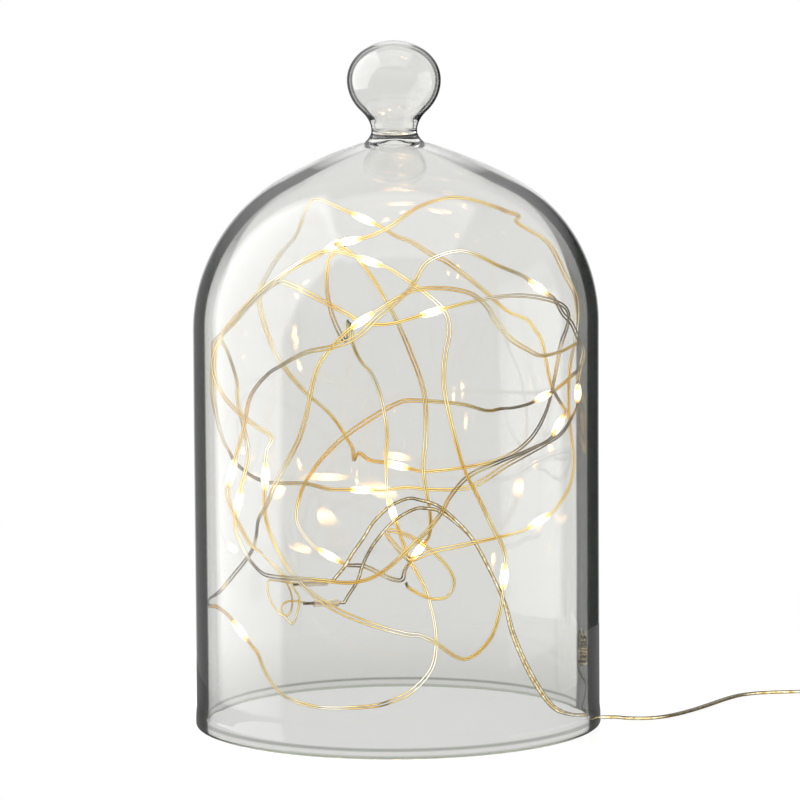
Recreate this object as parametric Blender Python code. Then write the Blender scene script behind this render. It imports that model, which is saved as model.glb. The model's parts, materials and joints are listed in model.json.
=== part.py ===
"""A glass cloche light: a blown dome with a hollow knob, set over a string of fairy lights.

Lengths are in metres. The origin is the middle of the rim's ground face, +Z is up and the front
faces -Y. Only the cords' routes are in millimetres, as points (x, y, z).
"""

import math

import bpy
from mathutils import Vector

MM = 0.001
GAP = 0.0003  # between pieces that touch
UP = Vector((0, 0, 1))

# Glass dome
WALL_RADIUS = 0.0825
GLASS_WALL = 0.0035
STRAIGHT_HEIGHT = 0.1635
SHOULDER_RADIUS = 0.0682
SHOULDER_SWEEP = math.radians(60.7)
CROWN_RADIUS = 0.1743
CROWN_EDGE = 0.002  # radius of the small flat that closes the crown
BEAD_PROUD = 0.0004
BEAD_HEIGHT = 0.0052
RIM_ROUNDING = 0.0007
DOME_SIDES = 64

# Notch in the rim for the lead
NOTCH_WIDTH = 0.0036
NOTCH_HEIGHT = 0.0022
NOTCH_BEHIND = 0.0015  # how far the notch lies behind the middle of the rim's right side
NOTCH_SIDES = 8

# Glass knob
BALL_RISE = 0.02473  # from the foot's edge to the widest part of the knob
KNOB_RADIUS = 0.01905
KNOB_UPPER_HALF = 0.016
KNOB_LOWER_HALF = 0.0177
KNOB_WALL = 0.0012
NECK_RADIUS = 0.0093
NECK_RISE = 0.0047  # from the crown under the foot's edge to the narrowest part of the neck
FOOT_RADIUS = 0.0113
BALL_LOW_ANGLE = math.radians(-45)  # where the ball runs into the neck, below its widest part
BALL_TOP_ANGLE = math.radians(85)  # where the small flat closes the ball's top
KNOB_SIDES = 32

# Fairy lights
DROP_LENGTH = 0.0105
DROP_RADIUS = 0.0015
DROP_END_RADIUS = 0.0008
DROP_SHOULDER = 0.2  # share of the length at which a drop is nearly full
DROP_SHOULDER_FILL = 0.82
DROP_SIDES = 8
STRAND = 0.0007
TWIN_WIDTH = 0.0014
TAIL_STRAND = 0.0007
TAIL_SPACING = 0.0012
SOLDER_DIAMETER = 0.0014

# Lead
CORE_DIAMETER = 0.0014
CORE_SPACING = 0.0018
LEAD_WIDTH = 0.0024
LEAD_THICKNESS = 0.00125
SLEEVE_RADIUS = 0.0015
SLEEVE_BORE_RADIUS = 0.0011
LEAD_LIFT = 0.0001  # under the lead where it lies on the table
LEAD_RUN = 2.5 * LEAD_WIDTH  # from point to point along the free lead

# Coil of spare lead
COIL_AWAY = 0.1185  # from the dome's wall to the coil's middle
COIL_BACK = 0.086
COIL_CENTRE = Vector((WALL_RADIUS + COIL_AWAY, COIL_BACK, 0))
COIL_INNER_RADIUS = 0.0138
COIL_PITCH = 0.0032
LAYER_PITCH = 0.0022
LAYERS = 4
LAYER_TURNS = 3.18
COIL_START = math.radians(-80)
REVERSE_TURNS = 0.5  # turns over which the lead climbs to the next layer
TURN_POINTS = 24

# Lead from the coil to the adapter
BRIDGE_RUN = 0.010  # how far it runs on before it comes down
BRIDGE_FALL = 0.0006
BRIDGE_ENTRY = (4, 1.5, 0.5)  # points ahead of the strain relief, in widths of the lead

# Tie round the coil
TIE_THICKNESS = 0.0008
TIE_WIDTH = 0.003
TIE_CLEARANCE = 0.0004

# Plug-in adapter
ADAPTER_AWAY = 0.1065  # from the dome's wall to the adapter's middle
ADAPTER_BACK = 0.006
ADAPTER_CENTRE = Vector((WALL_RADIUS + ADAPTER_AWAY, ADAPTER_BACK, 0))
ADAPTER_WIDTH = 0.034
ADAPTER_LENGTH = 0.050
BACK_SHELL_HEIGHT = 0.017
FRONT_SHELL_HEIGHT = 0.009
SHELL_WALL = 0.002
SHELL_CORNER = 0.005
SHELL_CHAMFER = 0.0012
PIN_RADIUS = 0.002
PIN_LENGTH = 0.019
PIN_SPACING = 0.0186
PIN_TIP = 0.0012
BOARD_MARGIN = 0.002
BOARD_THICKNESS = 0.0016
TRANSFORMER_SIDE = 0.015
TRANSFORMER_HEIGHT = 0.014
RELIEF_LENGTH = 0.020
RELIEF_COLLAR = 0.0025
RELIEF_RADIUS = 0.0032
RELIEF_TIP_RADIUS = 0.0016

# Sampling of curves
BEND_STEP = math.radians(9)  # turn that earns a wire a point
LONGEST_RUN = 0.014
CURVE_STEPS = 10

# The routes inside the dome are laid out in millimetres, in a dome of 79 mm inside radius whose
# straight wall is 163.5 mm tall, and are drawn out with the dome where its size differs
ROUTE_ACROSS = (WALL_RADIUS - GLASS_WALL) / 79
ROUTE_UP = STRAIGHT_HEIGHT / 163.5

# Routes of the wire between the drops, each from the far end of one drop to the near end of the next
FIRST_STRETCH = [(-54, -44, 77.5), (-57.5, -44, 80.5), (-66, -37, 97), (-66.5, -36, 102)]
STRETCHES = [
    [(-63.5, -35.5, 115), (-60.5, -35, 125.5), (-57.5, -38, 139.5), (-50.5, -46, 149.5),
     (-45.5, -52, 153.5), (-35, -60, 160), (-24, -66, 163), (-15, -67, 167), (-7, -65, 174),
     (6, -56, 184.5), (12.5, -50, 194), (24, -47, 198), (30, -45, 197), (40.5, -40, 191.5),
     (50.5, -33, 186.5)],
    [(63, -24, 176.5), (67, -18, 169.5), (70.5, -12, 165.5), (73.5, -6, 159.5), (77, 2, 152),
     (76, 4, 145), (75, 4, 140)],
    [(75.5, 14, 128), (73, 18, 122.5), (69, 26, 115), (63, 36, 109.5), (47, 53, 98.5),
     (30.5, 60, 88), (13, 62, 87), (4.5, 61, 88), (-6.5, 59, 87)],
    [(-22.5, 56, 88), (-28.5, 54, 88.5), (-37.5, 49, 91.5), (-56, 34, 95), (-67, 21, 104.5),
     (-69.5, 17, 110), (-72, 14, 115), (-75.5, 5, 135), (-74.5, 1.5, 152.5), (-74.5, 0.5, 156.5),
     (-70.5, -1.5, 161), (-59, -4.5, 174), (-49, -8, 183), (-29, -12.5, 195), (-17, -15, 193.5)],
    [(-3.5, -17, 189), (18.5, -22, 173), (21.5, -28, 165.5), (19.5, -36, 155), (19, -42, 144),
     (24.5, -53, 119), (26, -54, 114), (28, -56, 109), (30, -56, 105), (33, -57, 99),
     (38.5, -56.5, 87), (40.5, -56, 83.5), (42.5, -55, 76.5)],
    [(41.5, -54, 61), (36.5, -54, 43.5), (26.5, -55, 35.5), (14, -59, 43.5), (9, -60, 46),
     (3.5, -62, 47), (-12.5, -63, 52), (-28.5, -58, 59), (-42.5, -47, 70.5), (-51.5, -40, 88.5),
     (-52.5, -36, 100)],
    [(-52, -33, 113.5), (-51.5, -32, 117.5), (-49.5, -30.5, 122), (-54, -28, 125),
     (-63.5, -22, 131.5), (-71, -16, 140.5), (-73.5, -12.5, 150.5), (-70.5, -10.5, 160),
     (-67, -13, 164.5), (-47.5, -28, 184), (-44.5, -30, 184.5), (-20.5, -36, 173),
     (-12, -36, 168.5), (-3, -35, 168), (8, -33, 170.5)],
    [(21.5, -30, 174), (33, -24, 176), (51, -12, 176.5), (67.5, 0, 171.5), (71, 6, 166.5),
     (70.5, 10, 161), (68.5, 16, 153.5), (66, 25, 137.5), (63, 36, 123), (56, 50, 109),
     (43, 60, 99.5), (11.5, 66, 94), (6.5, 66, 95)],
    [(-6, 66, 98), (-11.5, 66, 99), (-16, 65.5, 102), (-18, 64, 99.5), (-18.5, 62.5, 104),
     (-20.5, 62, 108), (-28, 58, 119.5), (-39, 51.5, 130.5), (-48, 46, 142.5), (-53, 43, 152.5),
     (-57, 38, 170.5), (-56, 37, 176), (-48, 29, 190), (-41, 23, 198.5), (-36.5, 17, 209.5),
     (-33, 14.5, 214.5), (-19.5, 12, 209.5)],
    [(-6, 11, 203), (1, 13, 198.5), (6, 15, 196.5), (16.5, 19, 189.5), (20, 20, 188),
     (36, 27, 175), (47, 31, 165), (55, 31, 161.5), (58, 30, 157.5), (60.5, 30, 153.5),
     (64.5, 24, 136), (68.5, 14, 128.5), (70, 11.5, 126)],
    [(63.5, 3, 116.5), (53, -15, 114), (40, -33, 111.5), (28.5, -43, 107.5), (21, -52, 100.5),
     (18, -56, 95.5), (15.5, -59, 92.5), (12, -61, 88.5), (7.5, -64, 84.5), (-7, -66, 72),
     (-17, -65, 68.5), (-32.5, -61, 69), (-49, -49, 68.5), (-53.5, -43, 69), (-60, -33, 75),
     (-64, -30, 84), (-64.5, -29, 88)],
    [(-62, -26, 102), (-59.5, -20, 113.5), (-64.5, -3, 134), (-65, 2, 140.5), (-69.5, 14, 151.5),
     (-72.5, 18.5, 156.5), (-68, 19, 161.5), (-59, 18, 171.5), (-44, 16, 184), (-30, 15.5, 191.5)],
    [(-21.5, 7, 198), (-20.5, 7.5, 196.5), (-21, 9, 194.5), (-26.5, 11, 190.5),
     (-27.5, 10.5, 187.5), (-28, 11, 178), (-26, 15, 166), (-21, 23, 154.5), (-20, 25, 155),
     (-19.5, 31, 161.5), (-18.5, 34.5, 158.5), (-18, 37, 152), (-14.5, 42, 143.5),
     (-10.5, 45, 138.5), (-6.5, 50, 127.5), (-4, 53, 111), (-4.5, 53, 104.5), (-4, 51, 86)],
    [(0, 50, 73.5), (5, 47, 60), (12, 42, 47), (16, 35, 29), (14, 30.5, 16.5), (5, 28.5, 7),
     (-2.5, 27.5, 3.5), (-9.5, 22, 2.5), (-30, 18, 2.5), (-36, 20, 3), (-43.5, 19, 5.5),
     (-49, 16, 9.5), (-55, 12.5, 18.5), (-58, 10, 27), (-60.5, 9.5, 30.5)],
    [(-69.5, 5, 43.5), (-75, 1.5, 48), (-77.5, 0, 48.5), (-78, -2, 50.5), (-74, -9, 54.5),
     (-71.5, -14, 57), (-67.5, -17, 62), (-57.5, -32, 77), (-56, -35, 82.5), (-54.5, -42, 91),
     (-51.5, -45, 96.5), (-47, -50, 107.5), (-38.5, -55, 124), (-35.5, -57, 133.5),
     (-30, -58, 155), (-18.5, -54.5, 168)],
    [(-7.5, -50.5, 175), (6, -45.5, 182), (16.5, -42, 183), (30, -36, 180), (37, -31, 173.5),
     (39, -29, 169.5), (46, -25, 160.5), (52.5, -22, 156), (58, -19, 153), (66.5, -13.5, 154),
     (74.5, -8, 156.5), (76.5, -4, 149.5), (75, -1, 145.5), (73, 4, 142.5), (65.5, 8.5, 135.5)],
    [(55.5, 20, 128.5), (48.5, 29, 125.5), (44, 38, 124), (38.5, 43, 122.5), (27.5, 53, 124),
     (7.5, 66, 124), (3, 68, 123.5), (-5, 71, 119.5), (-21, 72, 109), (-25, 71, 106),
     (-34.5, 69, 96), (-41, 65.5, 85), (-42.5, 63, 73.5), (-35.5, 62, 63)],
    [(-22, 60.5, 55.5), (-14, 53, 56), (-2, 43, 52), (2, 39.5, 52.5), (3, 37, 56.5),
     (4.5, 35.5, 59.5)],
    [(13, 30.5, 71.5), (14, 28, 78.5), (11, 23, 101), (12, 20.5, 114), (11.5, 16, 133.5),
     (5, 9, 153.5), (-3.5, 0.5, 173), (-12.5, -3.5, 188), (-16.5, -4, 192.5), (-19, -5, 194.5),
     (-24, -4.5, 197), (-24.5, -1.5, 197)],
    [(-13, 1, 199), (-3.5, 0.5, 203), (10, 0, 212), (24.5, 1, 215.5), (41, 4, 211),
     (45.5, 6, 209), (50.5, 7.5, 207), (49.5, 8.5, 205), (62.5, 11.5, 196), (70, 14, 182.5),
     (75, 13.5, 172.5), (75, 13, 158.5), (72.5, 20, 143), (72.5, 25, 121.5), (74, 18, 104),
     (71.5, 14, 94.5), (64.5, 12.5, 84.5)],
    [(53, 13.5, 77), (25.5, 17, 70), (15, 16.5, 68), (5.5, 16.5, 64.5), (4, 18, 65),
     (-4.5, 22, 75.5), (3.5, 23, 74), (18, 23, 63.5), (23.5, 25, 54), (21, 27, 47.5),
     (14.5, 29, 46), (4.5, 34, 50), (3.5, 36.5, 51.5)],
]

# Route of the lead inside the glass, from the notch to where its two cores part, then each core's
# own route to its sleeve, and each single wire's route from its sleeve to the first stretch
INNER_LEAD = [(77, 1.8, 0.7), (72.5, 4, 0.7), (67.5, 8, 2), (63.5, 9.5, 4.5), (57, 14, 13),
              (48, 19.5, 32), (44.5, 21, 45), (39, 21.5, 57.5), (31, 20, 72.5)]
FRONT_CORE = [(23.5, 17, 81.5), (16.5, 13, 87.5), (9, 9, 90.5), (5, 6, 91.5), (-3, 0, 89),
              (-10, -6, 83), (-13, -9, 78.5), (-18.5, -15, 71.5), (-21, -17, 67.5),
              (-25, -20.5, 63.2)]
BACK_CORE = [(23.5, 19, 80), (16.5, 16.5, 85), (12.5, 14.5, 86), (8.5, 12, 86.5), (0.5, 6, 83.5),
             (-4, 3, 80), (-10, -4, 73.5), (-14, -12, 67), (-16, -17, 61.5), (-20, -23.5, 56)]
UPPER_SLEEVE = [(-28.5, -23, 62), (-38, -28, 62)]
LOWER_SLEEVE = [(-24, -27, 54), (-33.5, -31, 54.5)]
UPPER_TAIL = [(-44, -31, 63.2), (-47.5, -33, 64), (-51.5, -35.5, 64.5), (-51, -36.5, 58),
              (-47, -38, 51.5), (-45, -38.5, 50.5), (-42, -39.5, 47.5), (-41, -40, 49),
              (-39, -41.5, 58), (-40.5, -42, 61.5), (-43, -42.5, 66)]
LOWER_TAIL = [(-43, -34, 56), (-46, -35, 54.5), (-45.5, -35.5, 50.5), (-44, -36, 50.5),
              (-42.5, -36.5, 52.5), (-42, -38.5, 58), (-44, -40.5, 64.5)]

# Route of the lead on the table, from near the notch to the coil, as points (x, y), with x from
# the dome's wall, and the height of the lead's middle there
LEAD_HEIGHT = LEAD_THICKNESS / 2 + LEAD_LIFT
OUTER_LEAD = [(12, -1), (19, -1.5), (24.5, 0.5), (31, 6), (38.5, 15.5), (46.5, 28), (55, 42),
              (61, 49.5), (69, 54), (80.5, 56), (93.5, 57.5), (102, 58.5), (105.5, 59)]


def clear_scene():
    for thing in list(bpy.data.objects):
        bpy.data.objects.remove(thing)


def finish(name, colour, roughness, metallic=0.0, transmission=0.0):
    """A plain material of one colour."""
    made = bpy.data.materials.new(name)
    made.use_nodes = True
    shader = made.node_tree.nodes["Principled BSDF"]
    shader.inputs["Base Color"].default_value = (*colour, 1)
    shader.inputs["Roughness"].default_value = roughness
    shader.inputs["Metallic"].default_value = metallic
    shader.inputs["Transmission Weight"].default_value = transmission
    made.diffuse_color = (*colour, 1)
    return made


def placed(name, data, surface):
    thing = bpy.data.objects.new(name, data)
    data.materials.append(surface)
    bpy.context.scene.collection.objects.link(thing)
    return thing


def skin(name, loops, surface, closed=False):
    """One solid through loops of points, its ends filled, or joined to each other where closed."""
    count = len(loops[0])
    points = [point for loop in loops for point in loop]
    faces = []
    for row in range(len(loops) if closed else len(loops) - 1):
        near = row * count
        far = (row + 1) % len(loops) * count
        for step in range(count):
            ahead = (step + 1) % count
            faces.append((near + step, near + ahead, far + ahead, far + step))
    if not closed:
        faces.append(tuple(reversed(range(count))))
        faces.append(tuple(range(len(points) - count, len(points))))
    mesh = bpy.data.meshes.new(name)
    mesh.from_pydata(points, [], faces)
    return placed(name, mesh, surface)


def turned(name, outline, surface, sides, start=Vector(), axis=UP, closed=False):
    """A solid of (radius, distance along the axis) pairs, turned about an axis from its start."""
    across = axis.orthogonal().normalized()
    beyond = axis.cross(across)
    loops = []
    for radius, along in outline:
        centre = start + axis * along
        angles = [math.tau * side / sides for side in range(sides)]
        loops.append([
            centre + (across * math.cos(angle) + beyond * math.sin(angle)) * radius
            for angle in angles
        ])
    return skin(name, loops, surface, closed)


def arc(middle, radii, start, end, steps):
    """Points (radius, height) along an arc, or part of an ellipse where the two radii differ."""
    angles = [start + (end - start) * step / steps for step in range(steps + 1)]
    return [
        (middle[0] + radii[0] * math.cos(angle), middle[1] + radii[1] * math.sin(angle))
        for angle in angles
    ]


def cove(start, corner, end, steps):
    """Points (radius, height) on a curve that leaves and arrives along the corner's two sides."""
    points = []
    for step in range(1, steps + 1):
        part = step / steps
        weights = ((1 - part) ** 2, 2 * part * (1 - part), part ** 2)
        points.append(tuple(
            sum(weight * spot[axis] for weight, spot in zip(weights, (start, corner, end)))
            for axis in (0, 1)
        ))
    return points


def rounded_loop(width, length, corner, centre, height, steps=3):
    """A level rectangle with round corners."""
    loop = []
    for quarter in range(4):
        turn = quarter * math.pi / 2
        side_x = 1 if quarter in (0, 3) else -1
        side_y = 1 if quarter in (0, 1) else -1
        middle_x = centre.x + side_x * (width / 2 - corner)
        middle_y = centre.y + side_y * (length / 2 - corner)
        for step in range(steps + 1):
            angle = turn + math.pi / 2 * step / steps
            loop.append((
                middle_x + corner * math.cos(angle), middle_y + corner * math.sin(angle), height
            ))
    return loop


def box(name, width, length, height, centre, floor, surface):
    """A block that stands on the floor height."""
    loops = []
    for level in (floor, floor + height):
        loops.append([
            (centre.x + side_x * width / 2, centre.y + side_y * length / 2, level)
            for side_x, side_y in ((1, 1), (-1, 1), (-1, -1), (1, -1))
        ])
    return skin(name, loops, surface)


def inside(route):
    """A route inside the dome, in metres."""
    return [Vector((x * ROUTE_ACROSS, y * ROUTE_ACROSS, z * ROUTE_UP)) for x, y, z in route]


def smooth(route):
    """Closely spaced points on one smooth curve through the route's points."""
    ends = [route[0] * 2 - route[1]] + list(route) + [route[-1] * 2 - route[-2]]
    points = []
    for a, b, c, d in zip(ends, ends[1:], ends[2:], ends[3:]):
        knots = [0.0]
        for near, far in ((a, b), (b, c), (c, d)):
            knots.append(knots[-1] + math.sqrt((far - near).length))
        for step in range(CURVE_STEPS):
            at = knots[1] + (knots[2] - knots[1]) * step / CURVE_STEPS
            points.append(on_span((a, b, c, d), knots, at))
    points.append(Vector(route[-1]))
    return points


def on_span(spots, knots, at):
    """The point of the span's smooth curve at one value of its knots."""
    level = list(spots)
    for reach in (1, 2, 3):
        level = [
            level[i].lerp(level[i + 1], blend(knots, i, reach, at)) for i in range(len(level) - 1)
        ]
    return level[0]


def blend(knots, i, reach, at):
    """Share of the later point, over the stretch of knots that a round of blending covers."""
    if reach == 1:
        low, high = knots[i], knots[i + 1]
    elif reach == 2:
        low, high = knots[i], knots[i + 2]
    else:
        low, high = knots[1], knots[2]
    return (at - low) / (high - low)


def thinned(points):
    """The points that a wire's bends need, and a few along its straighter runs."""
    chosen = [points[0]]
    for point, after in zip(points[1:], points[2:]):
        run = point - chosen[-1]
        if run.angle(after - point) > BEND_STEP or run.length > LONGEST_RUN:
            chosen.append(point)
    chosen.append(points[-1])
    return chosen


def evenly(points, spacing):
    """Points an even distance apart along a line of closely spaced ones."""
    lengths = [(far - near).length for near, far in zip(points, points[1:])]
    runs = max(2, round(sum(lengths) / spacing))
    step = sum(lengths) / runs
    chosen = [points[0]]
    passed = 0.0
    for near, far, length in zip(points, points[1:], lengths):
        while passed + length >= step * len(chosen) and len(chosen) < runs:
            chosen.append(near.lerp(far, (step * len(chosen) - passed) / length))
        passed += length
    chosen.append(points[-1])
    return chosen


def beside(points, offset):
    """Points moved sideways on the level, square to their run."""
    moved = []
    for i, point in enumerate(points):
        run = points[min(i + 1, len(points) - 1)] - points[max(i - 1, 0)]
        side = run.cross(UP).normalized()
        moved.append(point + side * offset)
    return moved


def cord(name, points, thickness, surface, width=None, resolution=0, level=False, swells=None):
    """A cord through its points, flat where it has a width, and level where it lies flat."""
    curve = bpy.data.curves.new(name, "CURVE")
    curve.dimensions = "3D"
    curve.twist_mode = "Z_UP" if level else "MINIMUM"
    curve.bevel_depth = thickness / 2
    curve.bevel_resolution = resolution
    curve.extrude = ((width or thickness) - thickness) / 2
    curve.use_fill_caps = True
    spline = curve.splines.new("POLY")
    spline.points.add(len(points) - 1)
    for i, (spot, point) in enumerate(zip(spline.points, points)):
        spot.co = (*point, 1)
        spot.tilt = math.pi / 2 if level else 0
        spot.radius = swells[i] if swells else 1
    return placed(name, curve, surface)


def crown_arc():
    """Middle of the crown's arc, as its distance from the axis and its height."""
    reach = SHOULDER_RADIUS - CROWN_RADIUS
    return (
        WALL_RADIUS - SHOULDER_RADIUS + reach * math.cos(SHOULDER_SWEEP),
        STRAIGHT_HEIGHT + reach * math.sin(SHOULDER_SWEEP),
    )


def crown_height(radius):
    """Height of the crown's outer face at a distance from the axis."""
    middle = crown_arc()
    return middle[1] + math.sqrt(CROWN_RADIUS ** 2 - (radius - middle[0]) ** 2)


def dome_profile(inset, shoulder_steps, crown_steps):
    """The dome's face from the crown's middle down to the top of the straight wall."""
    middle = crown_arc()
    crown = CROWN_RADIUS - inset
    shoulder = SHOULDER_RADIUS - inset
    edge = math.acos((CROWN_EDGE - middle[0]) / crown)
    shoulder_middle = (WALL_RADIUS - SHOULDER_RADIUS, STRAIGHT_HEIGHT)
    top = arc(middle, (crown, crown), edge, SHOULDER_SWEEP, crown_steps)
    side = arc(shoulder_middle, (shoulder, shoulder), SHOULDER_SWEEP, 0, shoulder_steps)
    return top + side[1:]


def make_dome(glass):
    """The dome, thick at its rim, with a notch under the rim for the lead."""
    inner_radius = WALL_RADIUS - GLASS_WALL
    bead_radius = WALL_RADIUS + BEAD_PROUD
    rim = [
        (inner_radius, RIM_ROUNDING),
        (inner_radius + RIM_ROUNDING, 0),
        (bead_radius - RIM_ROUNDING, 0),
        (bead_radius, RIM_ROUNDING),
        (bead_radius, BEAD_HEIGHT),
        (WALL_RADIUS, BEAD_HEIGHT + BEAD_PROUD),
    ]
    inside = dome_profile(GLASS_WALL, 6, 4)
    outside = list(reversed(dome_profile(0, 7, 5)))
    dome = turned("cloche_dome", inside + rim + outside, glass, DOME_SIDES)
    cut(dome, notch_cutter(inner_radius, bead_radius))


def notch_cutter(inner_radius, outer_radius):
    """A bar with a round top that runs through the rim and out below it."""
    half = NOTCH_WIDTH / 2
    shoulder = NOTCH_HEIGHT - half
    margin = 2 * GLASS_WALL
    outline = [(half, -margin)]
    outline += arc((0, shoulder), (half, half), 0, math.pi, NOTCH_SIDES)
    outline += [(-half, -margin)]
    loops = [
        [(across, NOTCH_BEHIND + side, height) for side, height in outline]
        for across in (inner_radius - margin, outer_radius + margin)
    ]
    cutter = skin("notch_cutter", loops, bpy.data.materials[0])
    cutter.hide_render = True
    cutter.display_type = "WIRE"
    return cutter


def cut(piece, cutter):
    """Take the cutter's shape out of a piece."""
    change = piece.modifiers.new("cut", "BOOLEAN")
    change.operation = "DIFFERENCE"
    change.solver = "EXACT"
    change.object = cutter


def make_knob(glass):
    """The hollow knob: a ball on a neck, whose foot spreads on the crown."""
    foot_height = crown_height(FOOT_RADIUS) + GAP
    middle_height = foot_height + BALL_RISE
    neck_height = foot_height + NECK_RISE
    inner_foot_radius = FOOT_RADIUS - 2 * KNOB_WALL
    outside = knob_face(FOOT_RADIUS, NECK_RADIUS, neck_height, middle_height, 0)
    inside = knob_face(
        inner_foot_radius, NECK_RADIUS - KNOB_WALL, neck_height, middle_height, KNOB_WALL
    )
    turned("cloche_knob", list(reversed(inside)) + outside, glass, KNOB_SIDES)


def knob_face(foot_radius, neck_radius, neck_height, middle_height, inset):
    """One face of the knob, from the foot's edge up to its top."""
    foot = (foot_radius, crown_height(foot_radius) + GAP)
    neck = (neck_radius, neck_height)
    ball_radius = KNOB_RADIUS - inset
    lower = KNOB_LOWER_HALF - inset
    upper = KNOB_UPPER_HALF - inset
    ball = (0, middle_height)
    below = arc(ball, (ball_radius, lower), BALL_LOW_ANGLE, 0, 4)
    fall = (below[0][0] - neck_radius) * lower / ball_radius
    face = [foot]
    face += cove(foot, (neck_radius, (foot[1] + neck[1]) / 2), neck, 2)
    face += cove(neck, (neck_radius, below[0][1] - fall), below[0], 3)
    face += below[1:]
    face += arc(ball, (ball_radius, upper), 0, BALL_TOP_ANGLE, 6)[1:]
    return face


def drop_places(routes):
    """The middle and direction of each drop, between one stretch's end and the next one's start."""
    places = []
    for before, after in zip(routes, routes[1:]):
        places.append(((before[-1] + after[0]) / 2, (after[0] - before[-1]).normalized()))
    return places


def make_drops(places, resin):
    """Long resin drops, full in the middle and drawn in to the wire at both ends."""
    nearly_full = DROP_SHOULDER_FILL * DROP_RADIUS
    outline = [
        (DROP_END_RADIUS, 0), (nearly_full, DROP_SHOULDER * DROP_LENGTH),
        (DROP_RADIUS, DROP_LENGTH / 2), (nearly_full, (1 - DROP_SHOULDER) * DROP_LENGTH),
        (DROP_END_RADIUS, DROP_LENGTH),
    ]
    for number, (middle, axis) in enumerate(places, 1):
        start = middle - axis * DROP_LENGTH / 2
        turned(f"led_drop_{number:02}", outline, resin, DROP_SIDES, start, axis)


def clear_of(points, middle, reach):
    """The points that a drop about this middle doesn't cover."""
    return [point for point in points if (point - middle).length > reach]


def make_wires(routes, places, copper):
    """A flat twin wire from each drop to the next, and a last one that ends free."""
    reach = DROP_LENGTH / 2 + GAP
    for number, route in enumerate(routes[1:], 1):
        middle, axis = places[number - 1]
        points = [middle + axis * reach] + clear_of(route, middle, reach)
        if number < len(places):
            middle, axis = places[number]
            points = clear_of(points, middle, reach) + [middle - axis * reach]
        cord(f"wire_{number:02}", thinned(smooth(points)), STRAND, copper, TWIN_WIDTH)


def splice_spots(sleeve):
    """A sleeve's start, end and direction, and where the core stops and the tail starts in it."""
    start, end = inside(sleeve)
    run = (end - start).normalized()
    half = run * GAP / 2
    return start, end, run, (start + end) / 2 - half, (start + end) / 2 + half


def make_inner_lead(plastic):
    """Two cores side by side from the rim to where they part, and on to their sleeves."""
    shared = inside(INNER_LEAD)
    shared.insert(0, Vector((WALL_RADIUS + BEAD_PROUD, NOTCH_BEHIND, shared[0].z)))
    for name, own, sleeve, side in (
        ("lead_core_front", FRONT_CORE, UPPER_SLEEVE, 1),
        ("lead_core_back", BACK_CORE, LOWER_SLEEVE, -1),
    ):
        start, _, run, stop, _ = splice_spots(sleeve)
        run_in = start - run * 2 * CORE_DIAMETER
        route = beside(shared, -side * CORE_SPACING / 2) + inside(own) + [run_in]
        cord(name, thinned(smooth(route)) + [stop], CORE_DIAMETER, plastic)


def make_splices(plastic, copper, first_place, first_route):
    """A clear sleeve on each core's end, and the single wire that leaves it, soldered at its root."""
    middle, axis = first_place
    drop_end = middle - axis * (DROP_LENGTH / 2 + GAP)
    paired = first_route + [drop_end]
    bore = [(SLEEVE_RADIUS, 0), (SLEEVE_RADIUS, 1), (SLEEVE_BORE_RADIUS, 1), (SLEEVE_BORE_RADIUS, 0)]
    for name, sleeve, own, side in (
        ("upper", UPPER_SLEEVE, UPPER_TAIL, -1),
        ("lower", LOWER_SLEEVE, LOWER_TAIL, 1),
    ):
        start, end, run, _, root = splice_spots(sleeve)
        length = (end - start).length
        outline = [(radius, share * length) for radius, share in bore]
        turned(f"splice_sleeve_{name}", outline, plastic, DROP_SIDES, start, run, closed=True)
        joint = [root, end + run * SOLDER_DIAMETER]
        wire = thinned(smooth(inside(own) + beside(paired, side * TAIL_SPACING / 2)))
        swells = [SOLDER_DIAMETER / TAIL_STRAND] * len(joint) + [1.0] * len(wire)
        cord(f"wire_tail_{name}", joint + wire, TAIL_STRAND, copper, swells=swells)


def coil_height(turns):
    """Height of the coil's line, which climbs a layer about where it reverses."""
    climbed = 0.0
    for layer in range(1, LAYERS):
        part = (turns - layer * LAYER_TURNS) / REVERSE_TURNS + 0.5
        part = min(max(part, 0), 1)
        climbed += part * part * (3 - 2 * part)
    return coil_floor() + LEAD_THICKNESS / 2 + climbed * LAYER_PITCH


def coil_floor():
    """Height of the coil's underside, which clears the tie below it."""
    return LEAD_LIFT + TIE_THICKNESS + TIE_CLEARANCE


def coil_point(turns):
    """A point on the coil after a number of turns, in and out by one pitch a turn."""
    phase = turns / LAYER_TURNS % 2
    inward = min(phase, 2 - phase) * LAYER_TURNS
    radius = coil_outer_line() - inward * COIL_PITCH
    angle = COIL_START + math.tau * turns
    return COIL_CENTRE + Vector((
        radius * math.cos(angle), radius * math.sin(angle), coil_height(turns)
    ))


def coil_outer_line():
    return COIL_INNER_RADIUS + LAYER_TURNS * COIL_PITCH


def coil_points():
    """The coil's line from where the lead meets it to where it leaves, then on to the adapter."""
    total = LAYERS * LAYER_TURNS
    steps = round(total * TURN_POINTS)
    turns = [coil_point(total * step / steps) for step in range(steps + 1)]
    lead_in = (turns[0] - turns[1]).normalized()
    lead_in.z = 0
    start = turns[0] + lead_in * LEAD_WIDTH
    relief = relief_tip()
    away = Vector((0, 1, 0)) * LEAD_WIDTH
    bridge = [turns[-1], turns[-1] - Vector((0, BRIDGE_RUN, BRIDGE_FALL))]
    bridge += [relief + away * widths for widths in BRIDGE_ENTRY]
    return [start] + turns + thinned(smooth(bridge))[1:] + [relief]


def relief_tip():
    """Where the lead meets the end of the strain relief."""
    return ADAPTER_CENTRE + Vector((
        0, ADAPTER_LENGTH / 2 + GAP + RELIEF_LENGTH + GAP, BACK_SHELL_HEIGHT / 2
    ))


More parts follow.
